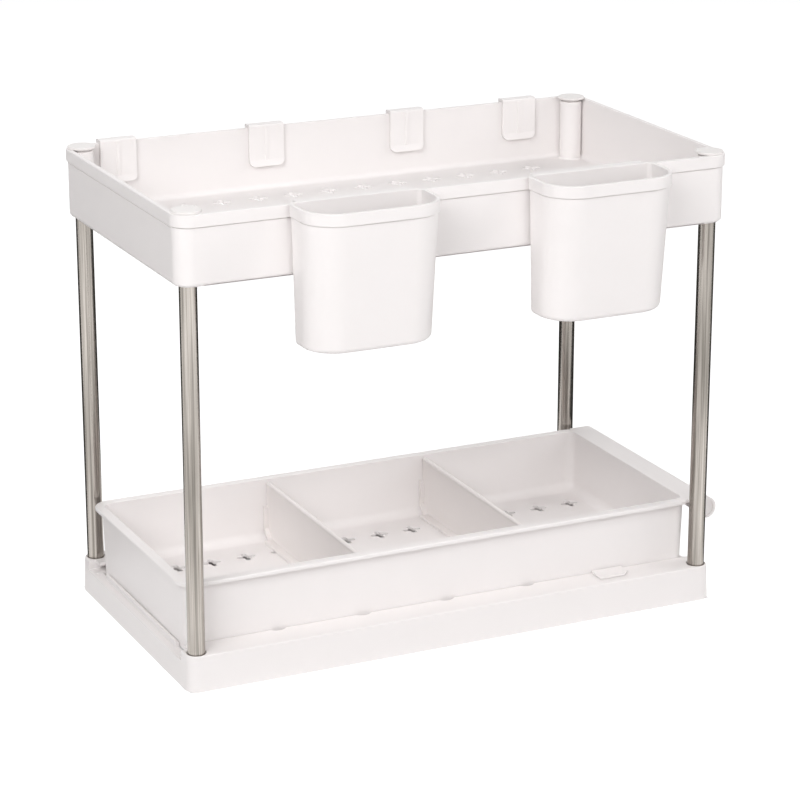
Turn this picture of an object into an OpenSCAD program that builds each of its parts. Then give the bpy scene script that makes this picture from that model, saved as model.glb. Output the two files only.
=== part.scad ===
// Two-tier under sink organizer: a drawer base, four tubes and a top tray,
// with drop-in dividers, hang-on cups and hang-on hooks.
// Millimetres. +Z is up, +X is the way the drawer pulls out, -Y is the front.
// The origin is on the resting plane, midway between the four tubes.

/* [Layout] */
// Distance between tube axes along X
tube_span_x = 388; // [360:1:430]
// Distance between tube axes along Y
tube_span_y = 200; // [180:1:230]
// Height of the top tray's rim above the resting plane
rim_height = 330; // [280:1:420]

/* [Tubes] */
// Outer diameter of the tubes
tube_d = 12; // [11:0.5:13]
// Wall of the tubes
tube_wall = 0.8; // [0.6:0.1:1.2]
// Radial clearance between a tube and its socket
tube_fit = 0.15; // [0.1:0.05:0.25]
// Wall of the socket around a tube
socket_wall = 2.1; // [1.8:0.1:2.2]
// Plastic left under a tube in the base
socket_floor = 3; // [2:0.5:6]

/* [Base] */
// Height of the base decks
base_h = 25.5; // [24:0.5:34]
// Wall of the base skirt
base_wall = 2.4; // [2:0.1:3]
// Distance from a tube axis to the deck's outer edge
deck_margin = 7.9; // [7.6:0.1:9]
// Outward draft of the skirt at its foot
skirt_draft = 1.1; // [0:0.1:2]
// Distance from a tube axis to the deck's inner edge
deck_inset = 15.1; // [14.5:0.1:18]
// Thickness of the deck plate
deck_t = 2.4; // [2:0.1:3]
// How far the end sills lie below the drawer's ledges
sill_step = 0.6; // [0.3:0.1:2]
// Width of an end sill's top
sill_w = 4.8; // [4:0.1:5.4]
// Height of the back stop lip above the end sill
lip_h = 4; // [3:0.1:5]
// Thickness of the back stop lip
lip_t = 2.4; // [1.8:0.1:2.6]
// How far the back stop lip ends short of each deck
lip_inset = 15; // [10:1:40]
// Height of the slide channel under the deck
channel_h = 4.5; // [4.2:0.1:5.5]
// How far the ledge under a runner reaches past the deck's inner edge
ledge_over = 2; // [1:0.5:4]
// Thickness of the cross ribs under the decks
rib_t = 1.8; // [1.2:0.1:2.4]
// Number of notches along each deck's inner edge
notches = 4; // [0:1:4]
// Distance between the notches
notch_pitch = 64; // [56:1:68]
// Width of a notch in the deck's inner edge
notch_w = 11; // [8:0.5:14]
// Depth of a notch in the deck's inner edge
notch_d = 2.7; // [1.5:0.1:3]
// Width of the floor straps across the base
strap_w = 16; // [10:1:30]
// Distance between the floor straps
strap_pitch = 96; // [60:1:130]
// Thickness of the floor straps
strap_t = 2.4; // [1.6:0.1:4]

/* [Drawer stop] */
// Position of the two stops along X
stop_x = 128; // [120:1:140]
// Length of the stop's cap along the deck
stop_len = 24; // [20:1:30]
// Width of the stop's cap across the deck
stop_w = 15; // [12:0.5:17]
// Thickness of the stop's cap
stop_t = 1.8; // [1:0.1:2.4]
// Size of the cut corner on the stop's cap
stop_cut = 5; // [2:0.5:8]
// Length of the stop's tooth
tooth_len = 10; // [8:1:14]
// Thickness of the stop's tooth across the deck
tooth_t = 2.2; // [1.8:0.1:2.6]
// How far the tooth's nib hooks under the deck
nib_w = 2; // [1.2:0.1:2.4]
// Length of the lug that meets the tooth
lug_len = 6; // [4:1:12]
// Travel of the drawer until it meets the stops
drawer_travel = 260; // [200:1:290]

/* [Drawer] */
// Height of the drawer's rim above its runners
drawer_h = 52.1; // [45:0.1:80]
// How much the drawer's right end stands back from the base's end
end_room = 1.2; // [0.8:0.2:8]
// Wall of the drawer
drawer_wall = 2.3; // [2:0.1:2.8]
// Thickness of the drawer's floor
drawer_floor_t = 2.2; // [1.8:0.1:3]
// Depth of the runner skirt below the drawer's floor
runner_drop = 3.1; // [2.6:0.1:4]
// Outward draft of each drawer wall from bottom to rim
drawer_draft = 1; // [0.6:0.1:5]
// How far the rim stands out from the wall
drawer_rim_w = 5; // [2.5:0.1:5.6]
// Height of the drawer's rim band
drawer_rim_h = 3; // [2:0.1:5]
// Corner radius of the drawer
drawer_r = 8; // [6:0.5:12]
// Slope between the drawer's walls and floor
floor_cove = 7; // [4:0.5:10]
// Height of the runner flanges
runner_t = 2.4; // [2:0.1:2.8]
// Width of the runner flanges
runner_w = 6.4; // [5:0.1:7]
// Flat width of the grip, from the end wall to its roll
grip_w = 13.5; // [8:0.5:18]
// Radius of the rolled grip
grip_r = 8; // [6:0.5:12]
// Wall of the rolled grip
grip_t = 2; // [1.6:0.1:3]

/* [Drain holes] */
// Length across a cross-shaped drain hole
drain_span = 14; // [9:0.5:16]
// Width of each arm of a drain hole
drain_w = 4; // [2.5:0.1:5]
// Distance between drain holes along X in the drawer
drawer_drain_pitch = 26.8; // [22:0.2:34]
// Distance between the drain rows in the drawer
drawer_row_pitch = 54; // [40:1:60]
// Distance between drain holes along X in the tray
tray_drain_pitch = 27.5; // [22:0.5:30]
// Number of drain holes in each row of the tray
tray_drains = 12; // [4:1:12]
// Distance between the drain rows in the tray
tray_row_pitch = 55; // [40:1:58]

/* [Dividers] */
// Thickness of a divider plate
divider_t = 2; // [1.6:0.1:3]
// Distance of each divider from the middle of the drawer
divider_offset = 64; // [50:1:90]
// How far the dividers' top edge lies below the drawer's rim
divider_drop = 2; // [1:0.5:8]
// Diameter of the bead along a divider's top
divider_bead = 3.4; // [2.6:0.2:5]
// Width of the foot along a divider's bottom
divider_foot = 6; // [4:0.5:10]
// Thickness of a divider's foot and flange
divider_rim_t = 2; // [1.4:0.1:3]
// Width of the flange up a divider's edges
divider_flange = 3.2; // [2:0.2:5]
// Height of that flange above the drawer's floor
flange_rise = 27; // [15:1:35]

/* [Tray] */
// Height of the tray from its bottom to its rim
tray_h = 48.7; // [45:0.1:80]
// Wall of the tray
tray_wall = 2.4; // [2:0.1:3]
// Thickness of the tray's floor
tray_floor_t = 2.2; // [2:0.1:4]
// How far the floor is raised inside the tray's bottom edge
tray_recess = 0.6; // [0.4:0.1:3]
// Depth of the tubes' shoulder below the rim
shoulder_depth = 4; // [2:0.5:8]
// Flare at the foot of each tube sleeve
sleeve_flare = 1.6; // [0.6:0.1:2]
// Distance from a tube axis to the rim's outer face
rim_margin = 11.5; // [11.3:0.1:12.5]
// Height of the rim band
band_h = 8.5; // [5:0.5:14]
// How far the rim band stands out
band_t = 1.25; // [0.8:0.05:1.4]
// Corner radius of the rim
rim_r = 13; // [11:0.5:15]
// Rounding of the tray's bottom edge
tray_round = 3.6; // [2:0.2:5]

/* [Caps] */
// Diameter of a corner cap
cap_d = 20.6; // [18:0.2:21]
// Thickness of a corner cap
cap_t = 1.6; // [1.2:0.1:3]
// Edge chamfer of a corner cap
cap_edge = 0.5; // [0.2:0.1:0.8]
// Length of the cap's plug in the tube
plug_len = 12; // [8:1:20]
// Radial clearance between the plug and its tube
plug_fit = 0.1; // [0.05:0.05:0.2]

/* [Cups] */
// Width of a cup's body at its rim
cup_w = 96; // [70:1:110]
// Depth of a cup's body at its rim
cup_d = 43; // [36:0.5:60]
// Height of a cup
cup_h = 95.2; // [70:0.1:130]
// Wall of a cup
cup_wall = 2; // [1.6:0.1:3]
// Inward taper of a cup's side walls from rim to bottom
cup_taper = 2.4; // [1:0.2:6]
// Inward taper of a cup's front wall from rim to bottom
cup_front_taper = 6; // [2:0.2:9]
// Radius of a cup's front corners
cup_front_r = 23; // [14:0.5:26]
// Radius of a cup's back corners
cup_back_r = 8; // [4:0.5:10]
// Rounding of a cup's bottom edge
cup_round = 3.5; // [2:0.5:8]
// Height of a cup's rim band
cup_band_h = 8.3; // [5:0.1:12]
// How far a cup's rim band stands out
cup_band_t = 0.7; // [0.6:0.1:2]
// Distance from the left end's tube axis to the left cup's middle
cup_left_in = 113.6; // [94:0.1:125]
// Distance from the right end's tube axis to the right cup's middle
cup_right_in = 100.9; // [84:0.1:125]
// Depth of the cup's hanger inside the tray
hanger_h = 14; // [8:1:20]
// Thickness of the hanger where it crosses the rim
hanger_t = 1.2; // [1:0.1:2]
// Distance from a cup's side to the end of its hanger
hanger_inset = 6; // [5:0.5:12]

/* [Hooks] */
// Width of a hook's clip
hook_w = 27; // [20:1:36]
// Height of a hook's inner leg
hook_leg_h = 31; // [20:1:36]
// Height of a hook's outer plate
hook_plate_h = 34; // [26:1:40]
// Thickness of a hook's plastic
hook_t = 2.1; // [1.8:0.1:3]
// Width of the finger that things hang on
finger_w = 9; // [6:0.5:14]
// Inner radius of the finger's bend
finger_r = 6; // [4:0.5:9]
// Length of the finger's upturned tip
finger_tip = 9; // [5:0.5:14]
// Height of the stiffening rib on the inner leg
leg_rib_t = 0.6; // [0.4:0.1:0.8]
// Width of the stiffening rib on the inner leg
leg_rib_w = 3; // [2:0.5:5]
// How far the finger's bend starts below the outer plate
finger_drop = 4; // [2:0.5:10]
// Depth of the pull flange along the inner leg's bottom
leg_lip_d = 1.2; // [0.6:0.1:2]
// Height of that pull flange
leg_lip_h = 4; // [2:0.5:8]
// Distance from the left end's tube axis to the first hook
first_hook_in = 29; // [28:1:60]
// Position of the second hook along X
second_hook_x = -52; // [-80:1:-20]
// Position of the third hook along X
third_hook_x = 60; // [20:1:90]
// Distance from the right end's tube axis to the last hook
last_hook_in = 41; // [28:1:60]

/* [Clearances] */
// Gap under a piece that rests or slides
seat_gap = 0.2; // [0.1:0.05:0.3]
// Side gap between pieces that slide past each other
side_gap = 0.4; // [0.3:0.05:0.5]
// Room beside the runner flanges in their channels
channel_room = 1.3; // [0.8:0.1:2]
// Room round a stop's tooth in its slot
slot_room = 0.6; // [0.3:0.1:1]

/* [Hidden] */

$fn = 48;
hull_fn = 32;
skin = 0.01;
overcut = 1;
plastic = "#EDE7E2";
inner_plastic = "#E6DED8";
steel = "#B5B1AC";

// Where a quarter round of radius 1 crosses its diagonal
bulge = 1 - cos(45);

// Tubes and their sockets
tube_x = tube_span_x / 2;
tube_y = tube_span_y / 2;
tube_r = tube_d / 2;
socket_r = tube_r + tube_fit;
boss_r = socket_r + socket_wall;

// Base
deck_x = tube_x + deck_margin;
deck_y = tube_y + deck_margin;
deck_r = deck_margin + 0.1;
deck_in = tube_y - deck_inset;
deck_low = base_h - deck_t;
channel_low = deck_low - channel_h;
sill_h = channel_low - sill_step;
web_y = deck_in + runner_w + channel_room;
end_gap_y = web_y - side_gap;
sill_in = deck_x - sill_w;
lip_in = sill_in - lip_t;
lip_y = deck_in - lip_inset;
skirt_mid = base_wall / 2;

// Drawer, from the bottom of its runners
runner_low = channel_low + seat_gap;
drawer_top = runner_low + drawer_h;
floor_top = runner_low + runner_drop + drawer_floor_t;
low_half_y = deck_in - side_gap - drawer_draft * (base_h - runner_low) / drawer_h;
top_half_y = low_half_y + drawer_draft;
left_low_x = -(lip_in - side_gap - drawer_draft * (sill_h + lip_h - runner_low) / drawer_h);
right_low_x = -left_low_x - end_room;
drawer_mid_x = (left_low_x + right_low_x) / 2;
low_half_x = (right_low_x - left_low_x) / 2;
top_half_x = low_half_x + drawer_draft;
under_r = drawer_r - drawer_wall;

// Stops, and the lugs on the runners that meet them
stop_in = deck_in + side_gap;
tooth_low = runner_low + runner_t + side_gap;
slot_out = stop_in + tooth_t + slot_room;
lug_right = stop_x - tooth_len / 2 - drawer_travel - seat_gap;
lug_top = deck_low - side_gap;
lug_in = low_half_y - drawer_wall / 2;
lug_out = low_half_y + runner_w - side_gap;

// Tray
tray_low = rim_height - tray_h;
tray_floor = tray_low + tray_recess + tray_floor_t;
rim_x = tube_x + rim_margin;
rim_y = tube_y + rim_margin;
body_x = rim_x - band_t;
body_y = rim_y - band_t;
body_r = rim_r - band_t;
inner_x = body_x - tray_wall;
inner_y = body_y - tray_wall;
inner_r = body_r - tray_wall;
shoulder_z = rim_height - shoulder_depth;
plug_r = tube_r - tube_wall - plug_fit;

// Cups, hooks
hang_z = rim_height + seat_gap;
cup_top = hang_z + hanger_t;
cup_back = rim_y + side_gap;
cup_low = cup_top - cup_h;
leg_out = inner_y - side_gap;
leg_in = leg_out - hook_t;
plate_in = rim_y + side_gap;
plate_out = plate_in + hook_t;
hook_x = [first_hook_in - tube_x, second_hook_x, third_hook_x, tube_x - last_hook_in];

// Half length along one axis of the drawer's inside at height z
function inner_half(low_half, z) =
    low_half + drawer_draft * (z - runner_low) / drawer_h - drawer_wall;

// Places that are spread evenly about zero
function spread(count, pitch) = [for (i = [0 : count - 1]) (i - (count - 1) / 2) * pitch];

// Outline of a cross with round ends
function cross_points(span, width) = [
    for (arm = [0 : 3])
    let (a = arm * 90, reach = (span - width) / 2, h = width / 2)
    for (b = [-90, -45, 0, 45, 90, 135])
    let (p = b == 135 ? [h, h] : [reach + h * cos(b), h * sin(b)])
    [p[0] * cos(a) - p[1] * sin(a), p[0] * sin(a) + p[1] * cos(a)]
];

module rounded_slab(half_x, half_y, r, h) {
    linear_extrude(height = h) {
        square([2 * half_x, 2 * (half_y - r)], center = true);
        square([2 * (half_x - r), 2 * half_y], center = true);
        for (sx = [-1, 1], sy = [-1, 1])
            translate([sx * (half_x - r), sy * (half_y - r)]) circle(r = r, $fn = hull_fn);
    }
}

module at_corners(z) {
    for (sx = [-1, 1], sy = [-1, 1]) translate([sx * tube_x, sy * tube_y, z]) children();
}

module drain_grid(columns, rows, z, thick) {
    for (x = columns, y = rows)
        translate([x, y, z - thick - overcut])
            linear_extrude(height = thick + 2 * overcut) polygon(cross_points(drain_span, drain_w));
}

// Base: a skirted frame with two decks that overhang the slide channels
module base_skirt() {
    difference() {
        hull() {
            rounded_slab(deck_x + skirt_draft, deck_y + skirt_draft, deck_r + skirt_draft, skin);
            translate([0, 0, base_h - skin]) rounded_slab(deck_x, deck_y, deck_r, skin);
        }
        hull() {
            translate([0, 0, -overcut])
                rounded_slab(deck_x + skirt_draft - base_wall, deck_y + skirt_draft - base_wall,
                    deck_r + skirt_draft - base_wall, skin);
            translate([0, 0, base_h + overcut])
                rounded_slab(deck_x - base_wall, deck_y - base_wall, deck_r - base_wall, skin);
        }
    }
}

module deck_sides() {
    span_x = 2 * (deck_x - skirt_mid);
    deck_mid = base_h - deck_t / 2;
    rib_h = base_h - channel_low;
    ledge_in = deck_in - ledge_over;
    ledge_out = web_y + base_wall;
    for (side = [-1, 1]) {
        translate([0, side * (deck_in + deck_y - skirt_mid) / 2, deck_mid])
            cube([2 * (deck_x - deck_r), deck_y - skirt_mid - deck_in, deck_t], center = true);
        translate([0, side * (deck_in + deck_y - deck_r) / 2, deck_mid])
            cube([span_x, deck_y - deck_r - deck_in, deck_t], center = true);
        translate([0, side * (web_y + base_wall / 2), base_h - (rib_h + deck_t) / 2])
            cube([span_x, base_wall, rib_h + deck_t], center = true);
        translate([0, side * (ledge_in + ledge_out) / 2, channel_low - deck_t / 2])
            cube([span_x, ledge_out - ledge_in, deck_t], center = true);
        for (x = spread(notches + 2, notch_pitch))
            translate([x, side * (web_y + deck_y) / 2, channel_low + rib_h / 2])
                cube([rib_t, deck_y - web_y, rib_h], center = true);
    }
}

module end_sills() {
    for (side = [-1, 1])
        translate([side * (lip_in + deck_x - skirt_mid) / 2, 0, sill_h - deck_t / 2])
            cube([deck_x - skirt_mid - lip_in, 2 * web_y, deck_t], center = true);
    // The back stop lip stands on the left end's strap, and a plain wall on the right end's
    translate([-sill_in, -lip_y, 0]) cube([lip_t, 2 * lip_y, sill_h + lip_h]);
    translate([lip_in, -lip_y, 0]) cube([lip_t, 2 * lip_y, sill_h]);
}

module floor_straps() {
    for (x = spread(3, strap_pitch))
        translate([x, 0, strap_t / 2]) cube([strap_w, 2 * (deck_y - skirt_mid), strap_t], center = true);
    for (side = [-1, 1])
        translate([side * (lip_in + deck_x) / 2, 0, strap_t / 2])
            cube([deck_x - lip_in, 2 * lip_y, strap_t], center = true);
}

module base_cuts() {
    notch_r = (notch_w * notch_w / 4 + notch_d * notch_d) / (2 * notch_d);
    for (side = [-1, 1]) {
        // The end walls drop to the sills between the decks
        translate([side * deck_x, 0, sill_h + base_h / 2])
            cube([2 * sill_w, 2 * end_gap_y, base_h], center = true);
        for (k = [1 : 1 : notches])
            translate([stop_x - k * notch_pitch, side * (deck_in + notch_d - notch_r), deck_low - overcut / 2])
                cylinder(r = notch_r, h = deck_t + overcut);
        translate([stop_x, side * (deck_in - overcut + slot_out) / 2, base_h - deck_t / 2])
            cube([tooth_len + 2 * slot_room, slot_out - deck_in + overcut, deck_t + overcut], center = true);
    }
    at_corners(socket_floor) cylinder(r = socket_r, h = base_h);
}

module base_frame() {
    color(plastic) difference() {
        union() {
            base_skirt();
            deck_sides();
            end_sills();
            floor_straps();
            at_corners(0) cylinder(r = boss_r, h = base_h);
        }
        base_cuts();
    }
}

// Tubes: plain hollow posts between the base sockets and the tray sleeves
module tube_at(sx, sy) {
    tube_low = socket_floor + seat_gap;
    color(steel) translate([sx * tube_x, sy * tube_y, tube_low]) difference() {
        cylinder(r = tube_r, h = shoulder_z - seat_gap - tube_low);
        translate([0, 0, -overcut]) cylinder(r = tube_r - tube_wall, h = rim_height);
    }
}

// Top tray: a shallow tub with a rim band and four sleeves over the tubes
module tray_shell() {
    roll = bulge * tray_round;
    difference() {
        union() {
            hull() {
                translate([0, 0, tray_low])
                    rounded_slab(body_x - tray_round, body_y - tray_round, body_r - tray_round, skin);
                translate([0, 0, tray_low + roll])
                    rounded_slab(body_x - roll, body_y - roll, body_r - roll, skin);
                translate([0, 0, tray_low + tray_round])
                    rounded_slab(body_x, body_y, body_r, tray_h - tray_round - skin);
            }
            translate([0, 0, rim_height - band_h]) rounded_slab(rim_x, rim_y, rim_r, band_h);
        }
        hull() {
            translate([0, 0, tray_floor])
                rounded_slab(inner_x - tray_round, inner_y - tray_round, inner_r - tray_round, skin);
            translate([0, 0, tray_floor + roll])
                rounded_slab(inner_x - roll, inner_y - roll, inner_r - roll, skin);
            translate([0, 0, tray_floor + tray_round]) rounded_slab(inner_x, inner_y, inner_r, tray_h);
        }
        translate([0, 0, tray_low - overcut])
            rounded_slab(inner_x - tray_round, inner_y - tray_round, inner_r - tray_round,
                tray_recess + overcut);
    }
}

module top_tray() {
    sleeve_low = tray_floor - tray_floor_t / 2;
    color(plastic) difference() {
        union() {
            tray_shell();
            at_corners(sleeve_low) cylinder(r = boss_r, h = rim_height - sleeve_low);
            at_corners(tray_floor) cylinder(r1 = boss_r + sleeve_flare, r2 = boss_r, h = sleeve_flare);
        }
        at_corners(tray_low - overcut) cylinder(r = socket_r, h = shoulder_z - tray_low + overcut);
        at_corners(tray_low) cylinder(r = plug_r + seat_gap, h = tray_h + overcut);
        drain_grid(spread(tray_drains, tray_drain_pitch), spread(4, tray_row_pitch),
            tray_floor, tray_floor_t);
    }
}

// Caps: thin discs with a plug in the tube
module cap_at(sx, sy) {
    color(plastic) translate([sx * tube_x, sy * tube_y, rim_height]) {
        cylinder(r = cap_d / 2, h = cap_t - cap_edge);
        translate([0, 0, cap_t - cap_edge])
            cylinder(r1 = cap_d / 2, r2 = cap_d / 2 - cap_edge, h = cap_edge);
        translate([0, 0, -plug_len]) cylinder(r = plug_r, h = plug_len + cap_edge);
    }
}

// Drawer: a drafted tub on two runner flanges, with a rolled grip at its right end
module drawer_outside() {
    hull() {
        translate([0, 0, runner_low]) rounded_slab(low_half_x, low_half_y, drawer_r, skin);
        translate([0, 0, drawer_top - skin]) rounded_slab(top_half_x, top_half_y, drawer_r, skin);
    }
    translate([0, 0, drawer_top - drawer_rim_h])
        rounded_slab(top_half_x + drawer_rim_w, top_half_y + drawer_rim_w,
            drawer_r + drawer_rim_w, drawer_rim_h);
}

module drawer_grip() {
    start_x = top_half_x - drawer_r;
    roll_x = top_half_x + grip_w;
    rotate([90, 0, 0]) linear_extrude(height = 2 * (top_half_y + drawer_rim_w), center = true) {
        translate([start_x, drawer_top - grip_t]) square([roll_x - start_x, grip_t]);
        translate([roll_x, drawer_top - grip_r]) difference() {
            circle(r = grip_r);
            circle(r = grip_r - grip_t);
            translate([-2 * grip_r, -2 * grip_r]) square([2 * grip_r, 4 * grip_r]);
        }
    }
}

module drawer_inside() {
    floor_x = inner_half(low_half_x, floor_top);
    floor_y = inner_half(low_half_y, floor_top);
    roll = bulge * floor_cove;
    cove_top = floor_top + floor_cove;
    mouth = drawer_top + overcut;
    hull() {
        translate([0, 0, floor_top])
            rounded_slab(floor_x - floor_cove, floor_y - floor_cove, under_r, skin);
        translate([0, 0, floor_top + roll])
            rounded_slab(floor_x - roll, floor_y - roll, under_r, skin);
        translate([0, 0, cove_top])
            rounded_slab(inner_half(low_half_x, cove_top), inner_half(low_half_y, cove_top), under_r, skin);
        translate([0, 0, mouth])
            rounded_slab(inner_half(low_half_x, mouth), inner_half(low_half_y, mouth), under_r, skin);
    }
    translate([0, 0, runner_low - overcut])
        rounded_slab(low_half_x - drawer_wall, low_half_y - drawer_wall, under_r, runner_drop + overcut);
}

module drawer_runners() {
    for (side = [-1, 1]) {
        translate([drawer_mid_x, side * (low_half_y + (runner_w - drawer_wall) / 2), runner_low + runner_t / 2])
            cube([2 * (low_half_x - drawer_r), runner_w + drawer_wall, runner_t], center = true);
        translate([lug_right - lug_len / 2, side * (lug_in + lug_out) / 2, (runner_low + lug_top) / 2])
            cube([lug_len, lug_out - lug_in, lug_top - runner_low], center = true);
    }
}

module drawer() {
    flat_x = inner_half(low_half_x, floor_top) - floor_cove - drain_span / 2;
    half_count = floor(flat_x / drawer_drain_pitch - 0.5);
    color(plastic) difference() {
        union() {
            translate([drawer_mid_x, 0, 0]) difference() {
                union() {
                    drawer_outside();
                    drawer_grip();
                }
                drawer_inside();
            }
            drawer_runners();
        }
        translate([drawer_mid_x, 0, 0])
            drain_grid(spread(2 * half_count + 2, drawer_drain_pitch), spread(3, drawer_row_pitch),
                floor_top, drawer_floor_t);
    }
}

// Dividers: thin plates with a top bead, edge flanges and a foot
module divider_outline(inset, high) {
    gap = side_gap + inset;
    low = floor_top + seat_gap;
    // The cut bottom corners pass over the cove with a millimetre to spare
    cut = floor_cove + 1;
    low_y = inner_half(low_half_y, low) - gap - cut;
    knee_y = inner_half(low_half_y, low + cut) - gap;
    high_y = inner_half(low_half_y, high) - gap;
    polygon([[-high_y, high], [-knee_y, low + cut], [-low_y, low + inset],
        [low_y, low + inset], [knee_y, low + cut], [high_y, high]]);
}

module stand_up(x, thick) {
    translate([x, 0, 0]) rotate([90, 0, 90]) linear_extrude(height = thick) children();
}

module divider_at(x) {
    high = drawer_top - divider_drop - divider_bead / 2;
    flange_top = floor_top + flange_rise;
    low = floor_top + seat_gap;
    face = x - divider_t / 2;
    bead_y = inner_half(low_half_y, high) - 2 * side_gap;
    foot_y = inner_half(low_half_y, low) - side_gap - floor_cove - 1;
    color(inner_plastic) {
        stand_up(face, divider_t) divider_outline(0, high);
        translate([x, bead_y, high]) rotate([90, 0, 0]) cylinder(r = divider_bead / 2, h = 2 * bead_y);
        stand_up(face - divider_flange, divider_flange + skin) difference() {
            divider_outline(0, flange_top);
            divider_outline(divider_rim_t, flange_top + overcut);
        }
        translate([face - divider_foot, -foot_y, low]) cube([divider_foot + skin, 2 * foot_y, divider_rim_t]);
    }
}

// Stops: snap-in clips on the deck whose teeth meet the drawer's lugs
module stop_at(side) {
    edge = 1.5;
    tooth_left = stop_x - tooth_len / 2;
    color(plastic) mirror([0, side < 0 ? 1 : 0, 0]) {
        translate([stop_x - stop_len / 2, stop_in, base_h]) linear_extrude(height = stop_t)
            polygon([[0, 0], [stop_len, 0], [stop_len, stop_w - stop_cut], [stop_len - stop_cut, stop_w],
                [edge, stop_w], [0, stop_w - edge]]);
        translate([tooth_left, stop_in, tooth_low]) cube([tooth_len, tooth_t, base_h - tooth_low + skin]);
        translate([tooth_left, stop_in, tooth_low])
            cube([tooth_len, tooth_t + nib_w, deck_low - seat_gap - tooth_low]);
    }
}

// Cups: tapered D-shaped cups that hang on the front rim
module cup_slab(half_x, depth, front_r, back_r, y_back, h) {
    translate([0, y_back, 0]) linear_extrude(height = h) intersection() {
        translate([-half_x, -depth]) square([2 * half_x, depth]);
        union() {
            translate([-half_x, front_r - depth]) square([2 * half_x, depth - front_r - back_r]);
            translate([front_r - half_x, -depth]) square([2 * (half_x - front_r), depth - back_r]);
            translate([back_r - half_x, -2 * back_r]) square([2 * (half_x - back_r), 2 * back_r]);
            for (side = [-1, 1]) {
                translate([side * (half_x - back_r), -back_r]) circle(r = back_r, $fn = hull_fn);
                translate([side * (half_x - front_r), front_r - depth]) circle(r = front_r, $fn = hull_fn);
            }
        }
    }
}

module cup_outside(low_half, low_depth) {
    roll = bulge * cup_round;
    hull() {
        translate([0, 0, cup_low])
            cup_slab(low_half - cup_round, low_depth - cup_round, cup_front_r - cup_round, cup_back_r,
                -cup_back, skin);
        translate([0, 0, cup_low + roll])
            cup_slab(low_half - roll, low_depth - roll, cup_front_r - roll, cup_back_r, -cup_back, skin);
        translate([0, 0, cup_low + cup_round])
            cup_slab(low_half, low_depth, cup_front_r, cup_back_r, -cup_back, skin);
        translate([0, 0, cup_top - skin])
            cup_slab(cup_w / 2, cup_d, cup_front_r, cup_back_r, -cup_back, skin);
    }
    translate([0, 0, cup_top - cup_band_h])
        cup_slab(cup_w / 2 + cup_band_t, cup_d + cup_band_t, cup_front_r + cup_band_t, cup_back_r,
            -cup_back, cup_band_h);
}

module cup_inside(low_half, low_depth) {
    back = -cup_back - cup_wall;
    front_r = cup_front_r - cup_wall;
    back_r = cup_back_r - cup_wall;
    hull() {
        translate([0, 0, cup_low + cup_wall])
            cup_slab(low_half - cup_wall - cup_round, low_depth - 2 * cup_wall - cup_round,
                front_r - cup_round, back_r, back, skin);
        translate([0, 0, cup_low + cup_wall + cup_round])
            cup_slab(low_half - cup_wall, low_depth - 2 * cup_wall, front_r, back_r, back, skin);
        translate([0, 0, cup_top + overcut])
            cup_slab(cup_w / 2 - cup_wall, cup_d - 2 * cup_wall, front_r, back_r, back, skin);
    }
}

module cup_hanger() {
    width = cup_w - 2 * hanger_inset;
    far = cup_back + cup_wall;
    near = leg_out - cup_wall;
    translate([-width / 2, -far, hang_z]) cube([width, far - near, hanger_t]);
    translate([-width / 2, -leg_out, cup_top - hanger_h]) cube([width, cup_wall, hanger_h]);
}

module cup_at(x) {
    low_half = cup_w / 2 - cup_taper;
    low_depth = cup_d - cup_front_taper;
    color(plastic) translate([x, 0, 0]) difference() {
        union() {
            cup_outside(low_half, low_depth);
            cup_hanger();
        }
        cup_inside(low_half, low_depth);
    }
}

// Hooks: a wide clip over the back rim with a finger behind it
module hook_plate(high, corner) {
    translate([-hook_w / 2, -high]) {
        translate([0, corner]) square([hook_w, high - corner]);
        translate([corner, 0]) square([hook_w - 2 * corner, corner]);
        for (x = [corner, hook_w - corner]) translate([x, corner]) circle(r = corner);
    }
}

module hook_finger(bend_z, corner) {
    tip_y = plate_out + 2 * finger_r;
    bend_r = finger_r + hook_t;
    translate([-finger_w / 2, plate_in, bend_z]) cube([finger_w, hook_t, finger_drop + corner]);
    translate([0, plate_out + finger_r, bend_z]) rotate([90, 0, 90]) difference() {
        cylinder(r = bend_r, h = finger_w, center = true);
        cylinder(r = finger_r, h = finger_w + overcut, center = true);
        translate([0, bend_r, 0]) cube([3 * bend_r, 2 * bend_r, 2 * finger_w], center = true);
    }
    translate([-finger_w / 2, tip_y, bend_z - skin]) cube([finger_w, hook_t, finger_tip]);
}

module hook_at(x) {
    corner = 4;
    top_z = hang_z + hook_t;
    leg_low = top_z - hook_leg_h;
    color(plastic) translate([x, 0, 0]) {
        translate([-hook_w / 2, leg_in, hang_z]) cube([hook_w, plate_out - leg_in, hook_t]);
        translate([0, leg_out, top_z - skin]) rotate([90, 0, 0])
            linear_extrude(height = hook_t) hook_plate(hook_leg_h, corner);
        translate([-leg_rib_w / 2, leg_in - leg_rib_t, leg_low + corner])
            cube([leg_rib_w, leg_rib_t + hook_t / 2, hook_leg_h - corner - hook_t]);
        translate([corner - hook_w / 2, leg_in - leg_lip_d, leg_low])
            cube([hook_w - 2 * corner, leg_lip_d + hook_t / 2, leg_lip_h]);
        translate([0, plate_out, top_z - skin]) rotate([90, 0, 0])
            linear_extrude(height = hook_t) hook_plate(hook_plate_h, corner);
        hook_finger(top_z - hook_plate_h - finger_drop, corner);
    }
}

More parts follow.
